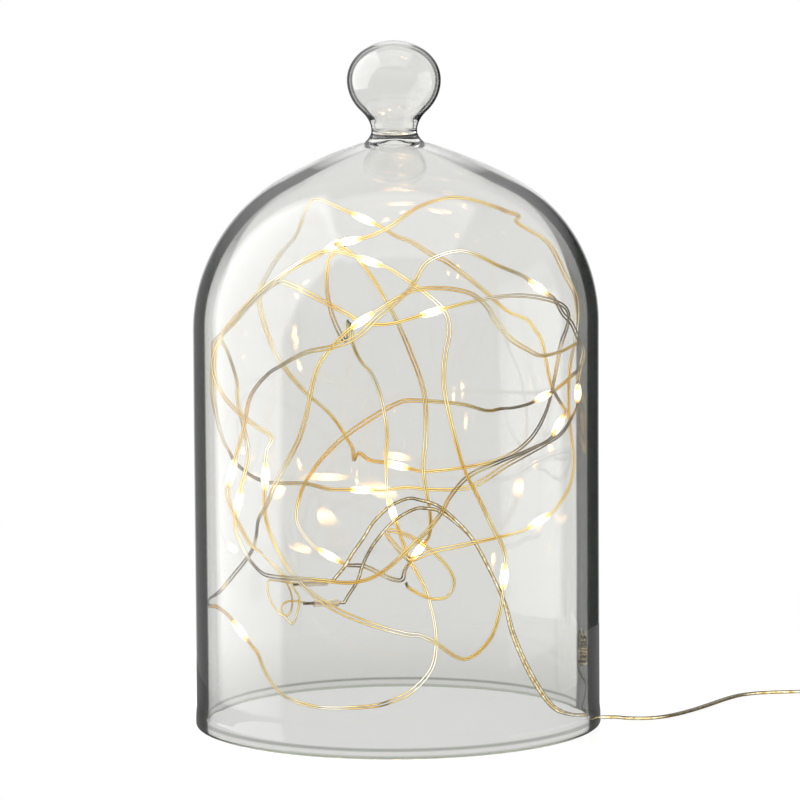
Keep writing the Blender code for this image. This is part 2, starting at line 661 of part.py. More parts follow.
def least_gap(points):
    """The least clearance between turns of the coil, as the flat lead's face meets another's."""
    least = 1.0
    apart = TURN_POINTS // 2
    for i, point in enumerate(points):
        for other in points[i + apart:]:
            level = math.hypot(point.x - other.x, point.y - other.y) - LEAD_WIDTH
            upright = abs(point.z - other.z) - LEAD_THICKNESS
            least = min(least, math.hypot(max(level, 0), max(upright, 0)))
    return least


def make_lead(plastic):
    """The lead on the table, and the coil of what is spare."""
    line = coil_points()
    away = (line[0] - line[1]).normalized()
    end = line[0] + away * GAP
    rim = Vector((WALL_RADIUS + BEAD_PROUD + GAP, NOTCH_BEHIND, LEAD_HEIGHT))
    route = [Vector((WALL_RADIUS + x * MM, y * MM, LEAD_HEIGHT)) for x, y in OUTER_LEAD]
    path = [rim, rim + Vector((LEAD_RUN, 0, 0))] + route + [end + away * LEAD_WIDTH * 2, end]
    cord(
        "outer_lead", evenly(smooth(path), LEAD_RUN), LEAD_THICKNESS, plastic, LEAD_WIDTH,
        resolution=2, level=True,
    )
    cord("lead_coil", line, LEAD_THICKNESS, plastic, LEAD_WIDTH, level=True)
    print(f"least gap between the coil's turns {least_gap(line) / MM:.2f} mm")


def make_tie(plastic):
    """A flat band round the coil's turns, on its far side."""
    inner = COIL_INNER_RADIUS - LEAD_WIDTH / 2 - TIE_CLEARANCE
    outer = coil_outer_line() + LEAD_WIDTH / 2 + TIE_CLEARANCE
    floor = LEAD_LIFT + TIE_THICKNESS
    top = coil_height(LAYERS * LAYER_TURNS) + LEAD_THICKNESS / 2 + TIE_CLEARANCE
    corners = [(inner, floor), (outer, floor), (outer, top), (inner, top)]
    grown = [
        (inner - TIE_THICKNESS, floor - TIE_THICKNESS), (outer + TIE_THICKNESS, floor - TIE_THICKNESS),
        (outer + TIE_THICKNESS, top + TIE_THICKNESS), (inner - TIE_THICKNESS, top + TIE_THICKNESS),
    ]
    half = TIE_WIDTH / 2
    loops = []
    for ring, side in ((grown, half), (grown, -half), (corners, -half), (corners, half)):
        loops.append([
            COIL_CENTRE + Vector((radius, side, height)) for radius, height in ring
        ])
    skin("coil_tie", loops, plastic, closed=True)


def shell_loops(outer_face, seam, depth_in):
    """Loops of a shell from its chamfered face to the seam, and back down its inside."""
    toward = 1 if seam > outer_face else -1
    inner = SHELL_CORNER - SHELL_WALL
    sizes = [
        (-2 * SHELL_CHAMFER, SHELL_CORNER - SHELL_CHAMFER, outer_face),
        (0, SHELL_CORNER, outer_face + toward * SHELL_CHAMFER),
        (0, SHELL_CORNER, seam),
        (-2 * SHELL_WALL, inner, seam),
        (-2 * SHELL_WALL, inner, outer_face + toward * depth_in),
    ]
    return [
        rounded_loop(ADAPTER_WIDTH + grow, ADAPTER_LENGTH + grow, corner, ADAPTER_CENTRE, height)
        for grow, corner, height in sizes
    ]


def make_adapter(plastic, brass, board_resin, core_metal):
    """The plug-in adapter, on its back with its two pins up."""
    top = BACK_SHELL_HEIGHT + GAP + FRONT_SHELL_HEIGHT
    skin("adapter_back_shell", shell_loops(0, BACK_SHELL_HEIGHT, SHELL_WALL), plastic)
    front = shell_loops(top, BACK_SHELL_HEIGHT + GAP, SHELL_WALL)
    skin("adapter_front_shell", [list(reversed(loop)) for loop in front], plastic)
    board_floor = SHELL_WALL + GAP
    board_inset = 2 * (SHELL_WALL + BOARD_MARGIN)
    box(
        "adapter_circuit_board", ADAPTER_WIDTH - board_inset, ADAPTER_LENGTH - board_inset,
        BOARD_THICKNESS, ADAPTER_CENTRE, board_floor, board_resin,
    )
    box(
        "adapter_transformer", TRANSFORMER_SIDE, TRANSFORMER_SIDE, TRANSFORMER_HEIGHT,
        ADAPTER_CENTRE, board_floor + BOARD_THICKNESS + GAP, core_metal,
    )
    pin = [(PIN_RADIUS, 0), (PIN_RADIUS, PIN_LENGTH - PIN_TIP), (PIN_RADIUS / 2, PIN_LENGTH)]
    for name, side in (("a", 1), ("b", -1)):
        foot = ADAPTER_CENTRE + Vector((side * PIN_SPACING / 2, 0, top + GAP))
        turned(f"adapter_pin_{name}", pin, brass, 12, foot)
    relief = [
        (RELIEF_RADIUS, 0), (RELIEF_RADIUS, RELIEF_COLLAR), (RELIEF_TIP_RADIUS, RELIEF_LENGTH)
    ]
    mouth = ADAPTER_CENTRE + Vector((0, ADAPTER_LENGTH / 2 + GAP, BACK_SHELL_HEIGHT / 2))
    turned("adapter_strain_relief", relief, plastic, 12, mouth, Vector((0, 1, 0)))


def main():
    clear_scene()
    glass = finish("clear glass", (0.86, 0.88, 0.87), 0.02, transmission=1.0)
    copper = finish("gold fairy wire", (0.72, 0.52, 0.22), 0.3, metallic=1.0)
    resin = finish("clear resin", (1.0, 0.93, 0.72), 0.1)
    clear_plastic = finish("clear lead", (0.78, 0.76, 0.70), 0.2)
    white_plastic = finish("white plastic", (0.88, 0.88, 0.86), 0.4)
    pin_metal = finish("pin metal", (0.75, 0.72, 0.62), 0.3, metallic=1.0)
    board_resin = finish("board resin", (0.05, 0.30, 0.12), 0.5)
    core_metal = finish("transformer", (0.20, 0.16, 0.08), 0.6)
    make_dome(glass)
    make_knob(glass)
    routes = [inside(route) for route in [FIRST_STRETCH] + STRETCHES]
    places = drop_places(routes)
    make_drops(places, resin)
    make_wires(routes, places, copper)
    make_inner_lead(clear_plastic)
    make_splices(clear_plastic, copper, places[0], routes[0])
    make_lead(clear_plastic)
    make_tie(white_plastic)
    make_adapter(white_plastic, pin_metal, board_resin, core_metal)


main()
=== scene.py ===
"""A glass cloche light: a blown dome with a hollow knob, set over a string of fairy lights.

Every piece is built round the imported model, which is the frame, and sits where its solids sit.
Lengths are in metres and routes are in millimetres, as points (x, y, z). +Z is up and the front
faces -Y.
"""

import json
import logging
import math
from dataclasses import dataclass
from enum import Enum
from typing import Callable, ClassVar, Sequence

import bpy
from mathutils import Matrix, Vector

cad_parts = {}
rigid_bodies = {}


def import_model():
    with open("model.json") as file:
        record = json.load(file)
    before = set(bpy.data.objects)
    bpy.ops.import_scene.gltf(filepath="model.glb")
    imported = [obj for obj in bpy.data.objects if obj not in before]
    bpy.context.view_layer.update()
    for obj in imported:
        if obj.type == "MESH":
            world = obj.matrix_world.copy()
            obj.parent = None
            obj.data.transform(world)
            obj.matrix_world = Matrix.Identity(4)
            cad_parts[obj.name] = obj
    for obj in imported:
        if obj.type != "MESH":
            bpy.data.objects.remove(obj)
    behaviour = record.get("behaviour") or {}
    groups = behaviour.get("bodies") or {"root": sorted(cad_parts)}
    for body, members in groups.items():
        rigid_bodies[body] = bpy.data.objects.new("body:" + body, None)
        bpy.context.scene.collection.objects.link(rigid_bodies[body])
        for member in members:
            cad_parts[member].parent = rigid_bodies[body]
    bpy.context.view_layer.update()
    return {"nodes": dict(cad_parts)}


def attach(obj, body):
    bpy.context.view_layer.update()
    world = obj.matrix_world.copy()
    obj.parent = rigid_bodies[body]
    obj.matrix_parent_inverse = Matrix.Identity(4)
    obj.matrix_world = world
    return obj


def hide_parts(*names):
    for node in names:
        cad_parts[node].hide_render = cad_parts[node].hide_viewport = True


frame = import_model()

MM = 0.001
UP = Vector((0, 0, 1))
FRONT = Vector((0, 1, 0))
WELD = 0.002 * MM  # corners closer together than this become one
TOUCH = 1e-6  # a corner this near a plane lies in it
CREASE = math.radians(35)  # an edge that bends more than this stays sharp
Point = tuple[float, ...]
Span = tuple[float, float]
Route = list[Point]
Outline = list[Span]
Stops = tuple[tuple[float, str], ...]

# Routes of the fairy wire: to the first light, and from each light's far end to the next one's
# near end. The last one ends free.
FIRST_STRETCH: Route = [(-54, -44, 77.5), (-57.5, -44, 80.5), (-66, -37, 97), (-66.5, -36, 102)]
STRETCHES: list[Route] = [
    [(-63.5, -35.5, 115), (-60.5, -35, 125.5), (-57.5, -38, 139.5), (-50.5, -46, 149.5),
     (-45.5, -52, 153.5), (-35, -60, 160), (-24, -66, 163), (-15, -67, 167), (-7, -65, 174),
     (6, -56, 184.5), (12.5, -50, 194), (24, -47, 198), (30, -45, 197), (40.5, -40, 191.5),
     (50.5, -33, 186.5)],
    [(63, -24, 176.5), (67, -18, 169.5), (70.5, -12, 165.5), (73.5, -6, 159.5), (77, 2, 152),
     (76, 4, 145), (75, 4, 140)],
    [(75.5, 14, 128), (73, 18, 122.5), (69, 26, 115), (63, 36, 109.5), (47, 53, 98.5),
     (30.5, 60, 88), (13, 62, 87), (4.5, 61, 88), (-6.5, 59, 87)],
    [(-22.5, 56, 88), (-28.5, 54, 88.5), (-37.5, 49, 91.5), (-56, 34, 95), (-67, 21, 104.5),
     (-69.5, 17, 110), (-72, 14, 115), (-75.5, 5, 135), (-74.5, 1.5, 152.5), (-74.5, 0.5, 156.5),
     (-70.5, -1.5, 161), (-59, -4.5, 174), (-49, -8, 183), (-29, -12.5, 195), (-17, -15, 193.5)],
    [(-3.5, -17, 189), (18.5, -22, 173), (21.5, -28, 165.5), (19.5, -36, 155), (19, -42, 144),
     (24.5, -53, 119), (26, -54, 114), (28, -56, 109), (30, -56, 105), (33, -57, 99),
     (38.5, -56.5, 87), (40.5, -56, 83.5), (42.5, -55, 76.5)],
    [(41.5, -54, 61), (36.5, -54, 43.5), (26.5, -55, 35.5), (14, -59, 43.5), (9, -60, 46),
     (3.5, -62, 47), (-12.5, -63, 52), (-28.5, -58, 59), (-42.5, -47, 70.5), (-51.5, -40, 88.5),
     (-52.5, -36, 100)],
    [(-52, -33, 113.5), (-51.5, -32, 117.5), (-49.5, -30.5, 122), (-54, -28, 125),
     (-63.5, -22, 131.5), (-71, -16, 140.5), (-73.5, -12.5, 150.5), (-70.5, -10.5, 160),
     (-67, -13, 164.5), (-47.5, -28, 184), (-44.5, -30, 184.5), (-20.5, -36, 173),
     (-12, -36, 168.5), (-3, -35, 168), (8, -33, 170.5)],
    [(21.5, -30, 174), (33, -24, 176), (51, -12, 176.5), (67.5, 0, 171.5), (71, 6, 166.5),
     (70.5, 10, 161), (68.5, 16, 153.5), (66, 25, 137.5), (63, 36, 123), (56, 50, 109),
     (43, 60, 99.5), (11.5, 66, 94), (6.5, 66, 95)],
    [(-6, 66, 98), (-11.5, 66, 99), (-16, 65.5, 102), (-18, 64, 99.5), (-18.5, 62.5, 104),
     (-20.5, 62, 108), (-28, 58, 119.5), (-39, 51.5, 130.5), (-48, 46, 142.5), (-53, 43, 152.5),
     (-57, 38, 170.5), (-56, 37, 176), (-48, 29, 190), (-41, 23, 198.5), (-36.5, 17, 209.5),
     (-33, 14.5, 214.5), (-19.5, 12, 209.5)],
    [(-6, 11, 203), (1, 13, 198.5), (6, 15, 196.5), (16.5, 19, 189.5), (20, 20, 188),
     (36, 27, 175), (47, 31, 165), (55, 31, 161.5), (58, 30, 157.5), (60.5, 30, 153.5),
     (64.5, 24, 136), (68.5, 14, 128.5), (70, 11.5, 126)],
    [(63.5, 3, 116.5), (53, -15, 114), (40, -33, 111.5), (28.5, -43, 107.5), (21, -52, 100.5),
     (18, -56, 95.5), (15.5, -59, 92.5), (12, -61, 88.5), (7.5, -64, 84.5), (-7, -66, 72),
     (-17, -65, 68.5), (-32.5, -61, 69), (-49, -49, 68.5), (-53.5, -43, 69), (-60, -33, 75),
     (-64, -30, 84), (-64.5, -29, 88)],
    [(-62, -26, 102), (-59.5, -20, 113.5), (-64.5, -3, 134), (-65, 2, 140.5), (-69.5, 14, 151.5),
     (-72.5, 18.5, 156.5), (-68, 19, 161.5), (-59, 18, 171.5), (-44, 16, 184), (-30, 15.5, 191.5)],
    [(-21.5, 7, 198), (-20.5, 7.5, 196.5), (-21, 9, 194.5), (-26.5, 11, 190.5),
     (-27.5, 10.5, 187.5), (-28, 11, 178), (-26, 15, 166), (-21, 23, 154.5), (-20, 25, 155),
     (-19.5, 31, 161.5), (-18.5, 34.5, 158.5), (-18, 37, 152), (-14.5, 42, 143.5),
     (-10.5, 45, 138.5), (-6.5, 50, 127.5), (-4, 53, 111), (-4.5, 53, 104.5), (-4, 51, 86)],
    [(0, 50, 73.5), (5, 47, 60), (12, 42, 47), (16, 35, 29), (14, 30.5, 16.5), (5, 28.5, 7),
     (-2.5, 27.5, 3.5), (-9.5, 22, 2.5), (-30, 18, 2.5), (-36, 20, 3), (-43.5, 19, 5.5),
     (-49, 16, 9.5), (-55, 12.5, 18.5), (-58, 10, 27), (-60.5, 9.5, 30.5)],
    [(-69.5, 5, 43.5), (-75, 1.5, 48), (-77.5, 0, 48.5), (-78, -2, 50.5), (-74, -9, 54.5),
     (-71.5, -14, 57), (-67.5, -17, 62), (-57.5, -32, 77), (-56, -35, 82.5), (-54.5, -42, 91),
     (-51.5, -45, 96.5), (-47, -50, 107.5), (-38.5, -55, 124), (-35.5, -57, 133.5),
     (-30, -58, 155), (-18.5, -54.5, 168)],
    [(-7.5, -50.5, 175), (6, -45.5, 182), (16.5, -42, 183), (30, -36, 180), (37, -31, 173.5),
     (39, -29, 169.5), (46, -25, 160.5), (52.5, -22, 156), (58, -19, 153), (66.5, -13.5, 154),
     (74.5, -8, 156.5), (76.5, -4, 149.5), (75, -1, 145.5), (73, 4, 142.5), (65.5, 8.5, 135.5)],
    [(55.5, 20, 128.5), (48.5, 29, 125.5), (44, 38, 124), (38.5, 43, 122.5), (27.5, 53, 124),
     (7.5, 66, 124), (3, 68, 123.5), (-5, 71, 119.5), (-21, 72, 109), (-25, 71, 106),
     (-34.5, 69, 96), (-41, 65.5, 85), (-42.5, 63, 73.5), (-35.5, 62, 63)],
    [(-22, 60.5, 55.5), (-14, 53, 56), (-2, 43, 52), (2, 39.5, 52.5), (3, 37, 56.5),
     (4.5, 35.5, 59.5)],
    [(13, 30.5, 71.5), (14, 28, 78.5), (11, 23, 101), (12, 20.5, 114), (11.5, 16, 133.5),
     (5, 9, 153.5), (-3.5, 0.5, 173), (-12.5, -3.5, 188), (-16.5, -4, 192.5), (-19, -5, 194.5),
     (-24, -4.5, 197), (-24.5, -1.5, 197)],
    [(-13, 1, 199), (-3.5, 0.5, 203), (10, 0, 212), (24.5, 1, 215.5), (41, 4, 211),
     (45.5, 6, 209), (50.5, 7.5, 207), (49.5, 8.5, 205), (62.5, 11.5, 196), (70, 14, 182.5),
     (75, 13.5, 172.5), (75, 13, 158.5), (72.5, 20, 143), (72.5, 25, 121.5), (74, 18, 104),
     (71.5, 14, 94.5), (64.5, 12.5, 84.5)],
    [(53, 13.5, 77), (25.5, 17, 70), (15, 16.5, 68), (5.5, 16.5, 64.5), (4, 18, 65),
     (-4.5, 22, 75.5), (3.5, 23, 74), (18, 23, 63.5), (23.5, 25, 54), (21, 27, 47.5),
     (14.5, 29, 46), (4.5, 34, 50), (3.5, 36.5, 51.5)],
]

# Routes of the lead inside the glass as far as the split, of its two cores, and of the wires' ends
INNER_LEAD: Route = [
    (77, 1.8, 0.7), (72.5, 4, 0.7), (67.5, 8, 2), (63.5, 9.5, 4.5), (57, 14, 13),
    (48, 19.5, 32), (44.5, 21, 45), (39, 21.5, 57.5), (31, 20, 72.5)]
FRONT_CORE: Route = [
    (23.5, 17, 81.5), (16.5, 13, 87.5), (9, 9, 90.5), (5, 6, 91.5), (-3, 0, 89),
    (-10, -6, 83), (-13, -9, 78.5), (-18.5, -15, 71.5), (-21, -17, 67.5), (-25, -20.5, 63.2)]
BACK_CORE: Route = [
    (23.5, 19, 80), (16.5, 16.5, 85), (12.5, 14.5, 86), (8.5, 12, 86.5), (0.5, 6, 83.5),
    (-4, 3, 80), (-10, -4, 73.5), (-14, -12, 67), (-16, -17, 61.5), (-20, -23.5, 56)]
UPPER_SLEEVE: Route = [(-28.5, -23, 62), (-38, -28, 62)]
LOWER_SLEEVE: Route = [(-24, -27, 54), (-33.5, -31, 54.5)]
UPPER_TAIL: Route = [
    (-44, -31, 63.2), (-47.5, -33, 64), (-51.5, -35.5, 64.5), (-51, -36.5, 58),
    (-47, -38, 51.5), (-45, -38.5, 50.5), (-42, -39.5, 47.5), (-41, -40, 49),
    (-39, -41.5, 58), (-40.5, -42, 61.5), (-43, -42.5, 66)]
LOWER_TAIL: Route = [
    (-43, -34, 56), (-46, -35, 54.5), (-45.5, -35.5, 50.5), (-44, -36, 50.5),
    (-42.5, -36.5, 52.5), (-42, -38.5, 58), (-44, -40.5, 64.5)]

# Route of the lead on the table, as points (x, y), from near the notch in the rim to its coil
OUTER_LEAD: Route = [
    (94.5, -1), (101.5, -1.5), (107, 0.5), (113.5, 6), (121, 15.5), (129, 28), (137.5, 42),
    (143.5, 49.5), (151.5, 54), (163, 56), (176, 57.5), (184.5, 58.5), (188, 59)]


class Body(Enum):
    """The two bodies of the frame: what stays on the table, and what lifts off."""

    STRING = "light_string"
    CLOCHE = "cloche"


class Slot(Enum):
    """The frame's material slots."""

    GLASS = "clear_glass"
    RESIN = "clear_resin"
    WIRE = "fairy_wire"
    LEAD = "clear_lead"
    PLASTIC = "white_plastic"
    PIN = "pin_metal"


def linear(hex_colour: str) -> tuple[float, float, float, float]:
    """Turns an sRGB colour into the linear values that a shader takes.

    Args:
        hex_colour: The colour as "#RRGGBB".

    Returns:
        Red, green, blue and an alpha of 1.
    """
    shares = [int(hex_colour[i:i + 2], 16) / 255 for i in (1, 3, 5)]
    red, green, blue = (
        share / 12.92 if share <= 0.04045 else ((share + 0.055) / 1.055) ** 2.4 for share in shares
    )
    return red, green, blue, 1.0


def add_node(tree: bpy.types.NodeTree, kind: str, settings: dict | None = None,
             links: dict | None = None) -> bpy.types.Node:
    """Adds one node with its settings and its links.

    Args:
        tree: The node tree.
        kind: The node's type.
        settings: Values by socket name or number, or by property name.
        links: Output sockets by the name or number of the input that each feeds.

    Returns:
        The new node.
    """
    node = tree.nodes.new(kind)
    for name, value in (settings or {}).items():
        if isinstance(name, int) or name in node.inputs:
            node.inputs[name].default_value = value
        else:
            setattr(node, name, value)
    for name, source in (links or {}).items():
        tree.links.new(source, node.inputs[name])
    return node


def add_ramp(tree: bpy.types.NodeTree, source: bpy.types.NodeSocket,
             stops: Stops) -> bpy.types.NodeSocket:
    """Adds a colour ramp.

    Args:
        tree: The node tree.
        source: What the ramp reads.
        stops: Positions from 0 to 1, each with its colour.

    Returns:
        The ramp's colour.
    """
    node = add_node(tree, "ShaderNodeValToRGB", links={"Fac": source})
    elements = node.color_ramp.elements
    while len(elements) < len(stops):
        elements.new(0.5)
    for element, (position, colour) in zip(elements, stops):
        element.position = position
        element.color = linear(colour)
    return node.outputs["Color"]


def deselect_all() -> None:
    """Leaves nothing selected and nothing active."""
    for thing in bpy.context.view_layer.objects:
        thing.select_set(False)
    bpy.context.view_layer.objects.active = None


def only(thing: bpy.types.Object) -> None:
    """Selects one object alone and makes it active."""
    deselect_all()
    thing.select_set(True)
    bpy.context.view_layer.objects.active = thing


def put_in(name: str, data: bpy.types.ID) -> bpy.types.Object:
    """Puts a mesh, a curve, a lamp or a camera in the scene.

    Args:
        name: The new object's name.
        data: What it shows.

    Returns:
        The new object.
    """
    thing = bpy.data.objects.new(name, data)
    bpy.context.scene.collection.objects.link(thing)
    return thing


def smooth(route: Sequence[Vector], steps: int = 10) -> list[Vector]:
    """Draws one smooth curve through a route's points.

    Args:
        route: The route's points.
        steps: Points for each of the route's spans.

    Returns:
        Closely spaced points along the curve.
    """
    ends = [route[0] * 2 - route[1], *route, route[-1] * 2 - route[-2]]
    points = []
    for spots in zip(ends, ends[1:], ends[2:], ends[3:]):
        knots = [0.0]
        for near, far in zip(spots, spots[1:]):
            knots.append(knots[-1] + math.sqrt((far - near).length))
        for step in range(steps):
            points.append(on_span(spots, knots, knots[1] + (knots[2] - knots[1]) * step / steps))
    points.append(Vector(route[-1]))
    return points


def on_span(spots: Sequence[Vector], knots: Sequence[float], at: float) -> Vector:
    """Finds a point of a smooth curve between the middle two of four points.

    Args:
        spots: The four points.
        knots: The curve's value at each of them.
        at: The value to look up.

    Returns:
        The point.
    """
    level = list(spots)
    spans = (((0, 1), (1, 2), (2, 3)), ((0, 2), (1, 3)), ((1, 2),))
    for pairs in spans:
        level = [
            level[i].lerp(level[i + 1], (at - knots[low]) / (knots[high] - knots[low]))
            for i, (low, high) in enumerate(pairs)
        ]
    return level[0]


def beside(points: Sequence[Vector], offset: float) -> list[Vector]:
    """Moves points sideways on the level, square to their run.

    Args:
        points: The line's points.
        offset: How far, to the right of the run where positive.

    Returns:
        The moved points.
    """
    moved = []
    for i, point in enumerate(points):
        run = points[min(i + 1, len(points) - 1)] - points[max(i - 1, 0)]
        moved.append(point + run.cross(UP).normalized() * offset)
    return moved


def in_metres(route: Route) -> list[Vector]:
    """Turns a route in millimetres into points in metres."""
    return [Vector(point) * MM for point in route]


def strands(name: str, lines: Sequence[Sequence[Vector]], thickness: float,
            resolution: int = 2) -> bpy.types.Object:
    """Draws round wire along one or more lines, as one mesh.

    Args:
        name: The piece's name.
        lines: The lines, each a list of points.
        thickness: The wire's diameter.
        resolution: Steps round a quarter of the wire.

    Returns:
        The wire, with its ends closed.
    """
    curve = bpy.data.curves.new(name, "CURVE")
    curve.dimensions = "3D"
    curve.bevel_depth = thickness / 2
    curve.bevel_resolution = resolution
    curve.use_fill_caps = True
    for line in lines:
        spline = curve.splines.new("POLY")
        spline.points.add(len(line) - 1)
        for spot, point in zip(spline.points, line):
            spot.co = (*point, 1)
    only(put_in(name, curve))
    bpy.ops.object.convert(target="MESH")
    bpy.ops.object.shade_smooth()
    return bpy.context.view_layer.objects.active


def strand_pair(points: Sequence[Vector], spacing: float, turn: float, roll: float,
                start: float, splay: float = 0.0) -> list[list[Vector]]:
    """Lays two strands side by side along a line, flat to the front, with a slow roll.

    Args:
        points: The line down their middle.
        spacing: The distance between the two.
        turn: Length of line over which the roll goes to and fro.
        roll: How far it goes, in radians; a full turn or more twists the pair.
        start: Where in the roll the line starts.
        splay: How much further apart they drift here and there between their ends.

    Returns:
        The two strands' lines.
    """
    off_front = 0.1  # keeps the first side from vanishing where the line starts to the front
    flattened = 0.2  # share of the way to flat that the pair turns at each point
    run = (points[1] - points[0]).normalized()
    side = run.cross(FRONT + run.orthogonal() * off_front).normalized()
    passed = 0.0
    total = sum((far - near).length for near, far in zip(points, points[1:]))
    pair: list[list[Vector]] = [[], []]
    for i, point in enumerate(points):
        ahead = (points[min(i + 1, len(points) - 1)] - points[max(i - 1, 0)]).normalized()
        side = run.rotation_difference(ahead) @ side
        flat = ahead.cross(FRONT)
        if side.dot(flat) < 0:
            flat = -flat
        side = (side + flat * flattened).normalized()
        run = ahead
        passed += (point - points[max(i - 1, 0)]).length
        angle = start + math.tau * passed / turn
        if roll < math.tau:
            angle = roll * math.sin(angle)
        drift = math.sin(math.pi * passed / total) * math.sin(3 * start + math.pi * passed / turn) ** 2
        out = Matrix.Rotation(angle, 3, run) @ side * (spacing + splay * drift) / 2
        pair[0].append(point + out)
        pair[1].append(point - out)
    return pair


def lathe(name: str, outline: Outline, sides: int, inward: bool = False) -> bpy.types.Object:
    """Spins an outline about the Z axis, from a single point that is extruded along it.

    Args:
        name: The piece's name.
        outline: Points (radius, height), from the first to the last.
        sides: Steps round the axis.
        inward: Whether the faces point at the axis's side, as those of a sealed hollow do.

    Returns:
        The spun shape, welded where it meets itself.
    """
    deselect_all()
    radius, height = outline[0]
    bpy.ops.mesh.primitive_plane_add(size=MM, location=(radius, 0, height))
    piece = bpy.context.object
    piece.name = name
    piece.data.name = name
    bpy.ops.object.transform_apply(location=True, rotation=False, scale=False)
    bpy.ops.object.mode_set(mode="EDIT")
    bpy.ops.mesh.select_mode(type="VERT")
    bpy.ops.mesh.select_all(action="SELECT")
    bpy.ops.mesh.merge(type="CENTER")
    for (near_radius, near), (far_radius, far) in zip(outline, outline[1:]):
        bpy.ops.mesh.extrude_region_move(
            TRANSFORM_OT_translate={"value": (far_radius - near_radius, 0, far - near)})
    bpy.ops.mesh.select_all(action="SELECT")
    bpy.ops.mesh.spin(steps=sides, angle=math.tau, center=(0, 0, 0), axis=(0, 0, 1))
    bpy.ops.object.mode_set(mode="OBJECT")
    close_up(piece, inward)
    bpy.ops.object.shade_smooth()
    return piece


def block(name: str, middle: Point, size: Point) -> bpy.types.Object:
    """Adds a plain block, to be shaped.

    Args:
        name: The piece's name.
        middle: Its middle.
        size: Its size along X, Y and Z.

    Returns:
        The block.
    """
    deselect_all()
    bpy.ops.mesh.primitive_cube_add(size=1, location=middle)
    piece = bpy.context.object
    piece.name = piece.data.name = name
    piece.scale = size
    bpy.ops.object.transform_apply(location=True, rotation=True, scale=True)
    return piece


def at_level(axis: int, *places: float) -> Callable[..., bool]:
    """Makes a test of corners: whether all lie at the same one of some places along an axis."""
    return lambda *corners: any(
        all(abs(corner[axis] - place) < TOUCH for corner in corners) for place in places)


def pick(piece: bpy.types.Object, kind: str, chosen: Callable[..., bool]) -> None:
    """Selects the edges or the faces that a test picks, and stays in edit mode.

    Args:
        piece: The piece.
        kind: "EDGE" or "FACE".
        chosen: The test, of the places of an edge's or a face's corners.
    """
    only(piece)
    bpy.ops.object.mode_set(mode="EDIT")
    bpy.ops.mesh.select_mode(type=kind)
    bpy.ops.mesh.select_all(action="DESELECT")
    bpy.ops.object.mode_set(mode="OBJECT")
    spots = piece.data.vertices
    for part in piece.data.edges if kind == "EDGE" else piece.data.polygons:
        part.select = chosen(*(spots[corner].co for corner in part.vertices))
    bpy.ops.object.mode_set(mode="EDIT")


def ease_edges(piece: bpy.types.Object, size: float, steps: int,
               chosen: Callable[..., bool]) -> None:
    """Rounds the edges that a test picks.

    Args:
        piece: The piece.
        size: How far the rounding reaches.
        steps: Its segments.
        chosen: The test, of an edge's two ends.
    """
    pick(piece, "EDGE", chosen)
    bpy.ops.mesh.bevel(offset=size, segments=steps, affect="EDGES")
    bpy.ops.object.mode_set(mode="OBJECT")


def close_up(piece: bpy.types.Object, inward: bool = False) -> None:
    """Welds a piece's doubled corners and turns its faces one way.

    Args:
        piece: The piece.
        inward: Whether they turn inwards, and not outwards.
    """
    only(piece)
    bpy.ops.object.mode_set(mode="EDIT")
    bpy.ops.mesh.select_all(action="SELECT")
    bpy.ops.mesh.remove_doubles(threshold=WELD)
    bpy.ops.mesh.normals_make_consistent(inside=inward)
    bpy.ops.object.mode_set(mode="OBJECT")


def crease(piece: bpy.types.Object, angle: float = CREASE) -> None:
    """Shades a piece smooth but for the edges that bend more than an angle."""
    only(piece)
    bpy.ops.object.shade_smooth_by_angle(angle=angle)


def placed(spot: Vector, run: Vector) -> Matrix:
    """Returns the move that lays a piece, drawn along Z from the origin, at a spot along a run."""
    return Matrix.Translation(spot) @ run.to_track_quat("Z", "X").to_matrix().to_4x4()


def arc(middle: tuple[float, float], radii: tuple[float, float], start: float, end: float,
        steps: int) -> Outline:
    """Points along an arc, or part of an ellipse where the radii differ.

    Args:
        middle: The arc's middle (radius, height).
        radii: Its two radii, across and up.
        start: First angle, in radians.
        end: Last angle.
        steps: How many steps between them.

    Returns:
        The points (radius, height).
    """
    angles = [start + (end - start) * step / steps for step in range(steps + 1)]
    return [(middle[0] + radii[0] * math.cos(angle), middle[1] + radii[1] * math.sin(angle))
            for angle in angles]


def cove(start: tuple[float, float], corner: tuple[float, float], end: tuple[float, float],
         steps: int) -> Outline:
    """Points on a curve that leaves and arrives along a corner's two sides.

    Args:
        start: Where the curve starts, which isn't repeated.
        corner: The corner that it rounds.
        end: Where it ends.
        steps: How many points.

    Returns:
        The points (radius, height).
    """
    points = []
    for step in range(1, steps + 1):
        part = step / steps
        weights = ((1 - part) ** 2, 2 * part * (1 - part), part ** 2)
        points.append(tuple(
            sum(weight * spot[axis] for weight, spot in zip(weights, (start, corner, end)))
            for axis in (0, 1)))
    return points


@dataclass(frozen=True)
class Grain:
    """Noise on a piece's own coordinates.

    Its size is the distance from one blotch to the next in metres, its detail is how fine it
    goes, and its stretch is how much denser it is along X, Y and Z.
    """

    size: float
    detail: float = 2.0
    stretch: Point = (1, 1, 1)

    def add(self, tree: bpy.types.NodeTree) -> bpy.types.NodeSocket:
        """Adds the noise's nodes.

        Args:
            tree: The node tree.

        Returns:
            The noise, from 0 to 1.
        """
        spot = add_node(tree, "ShaderNodeTexCoord")
        laid = add_node(tree, "ShaderNodeMapping", {"Scale": self.stretch},
                        {"Vector": spot.outputs["Object"]})
        noise = add_node(tree, "ShaderNodeTexNoise", {
            "Scale": 1 / self.size, "Detail": self.detail}, {"Vector": laid.outputs["Vector"]})
        return noise.outputs["Fac"]


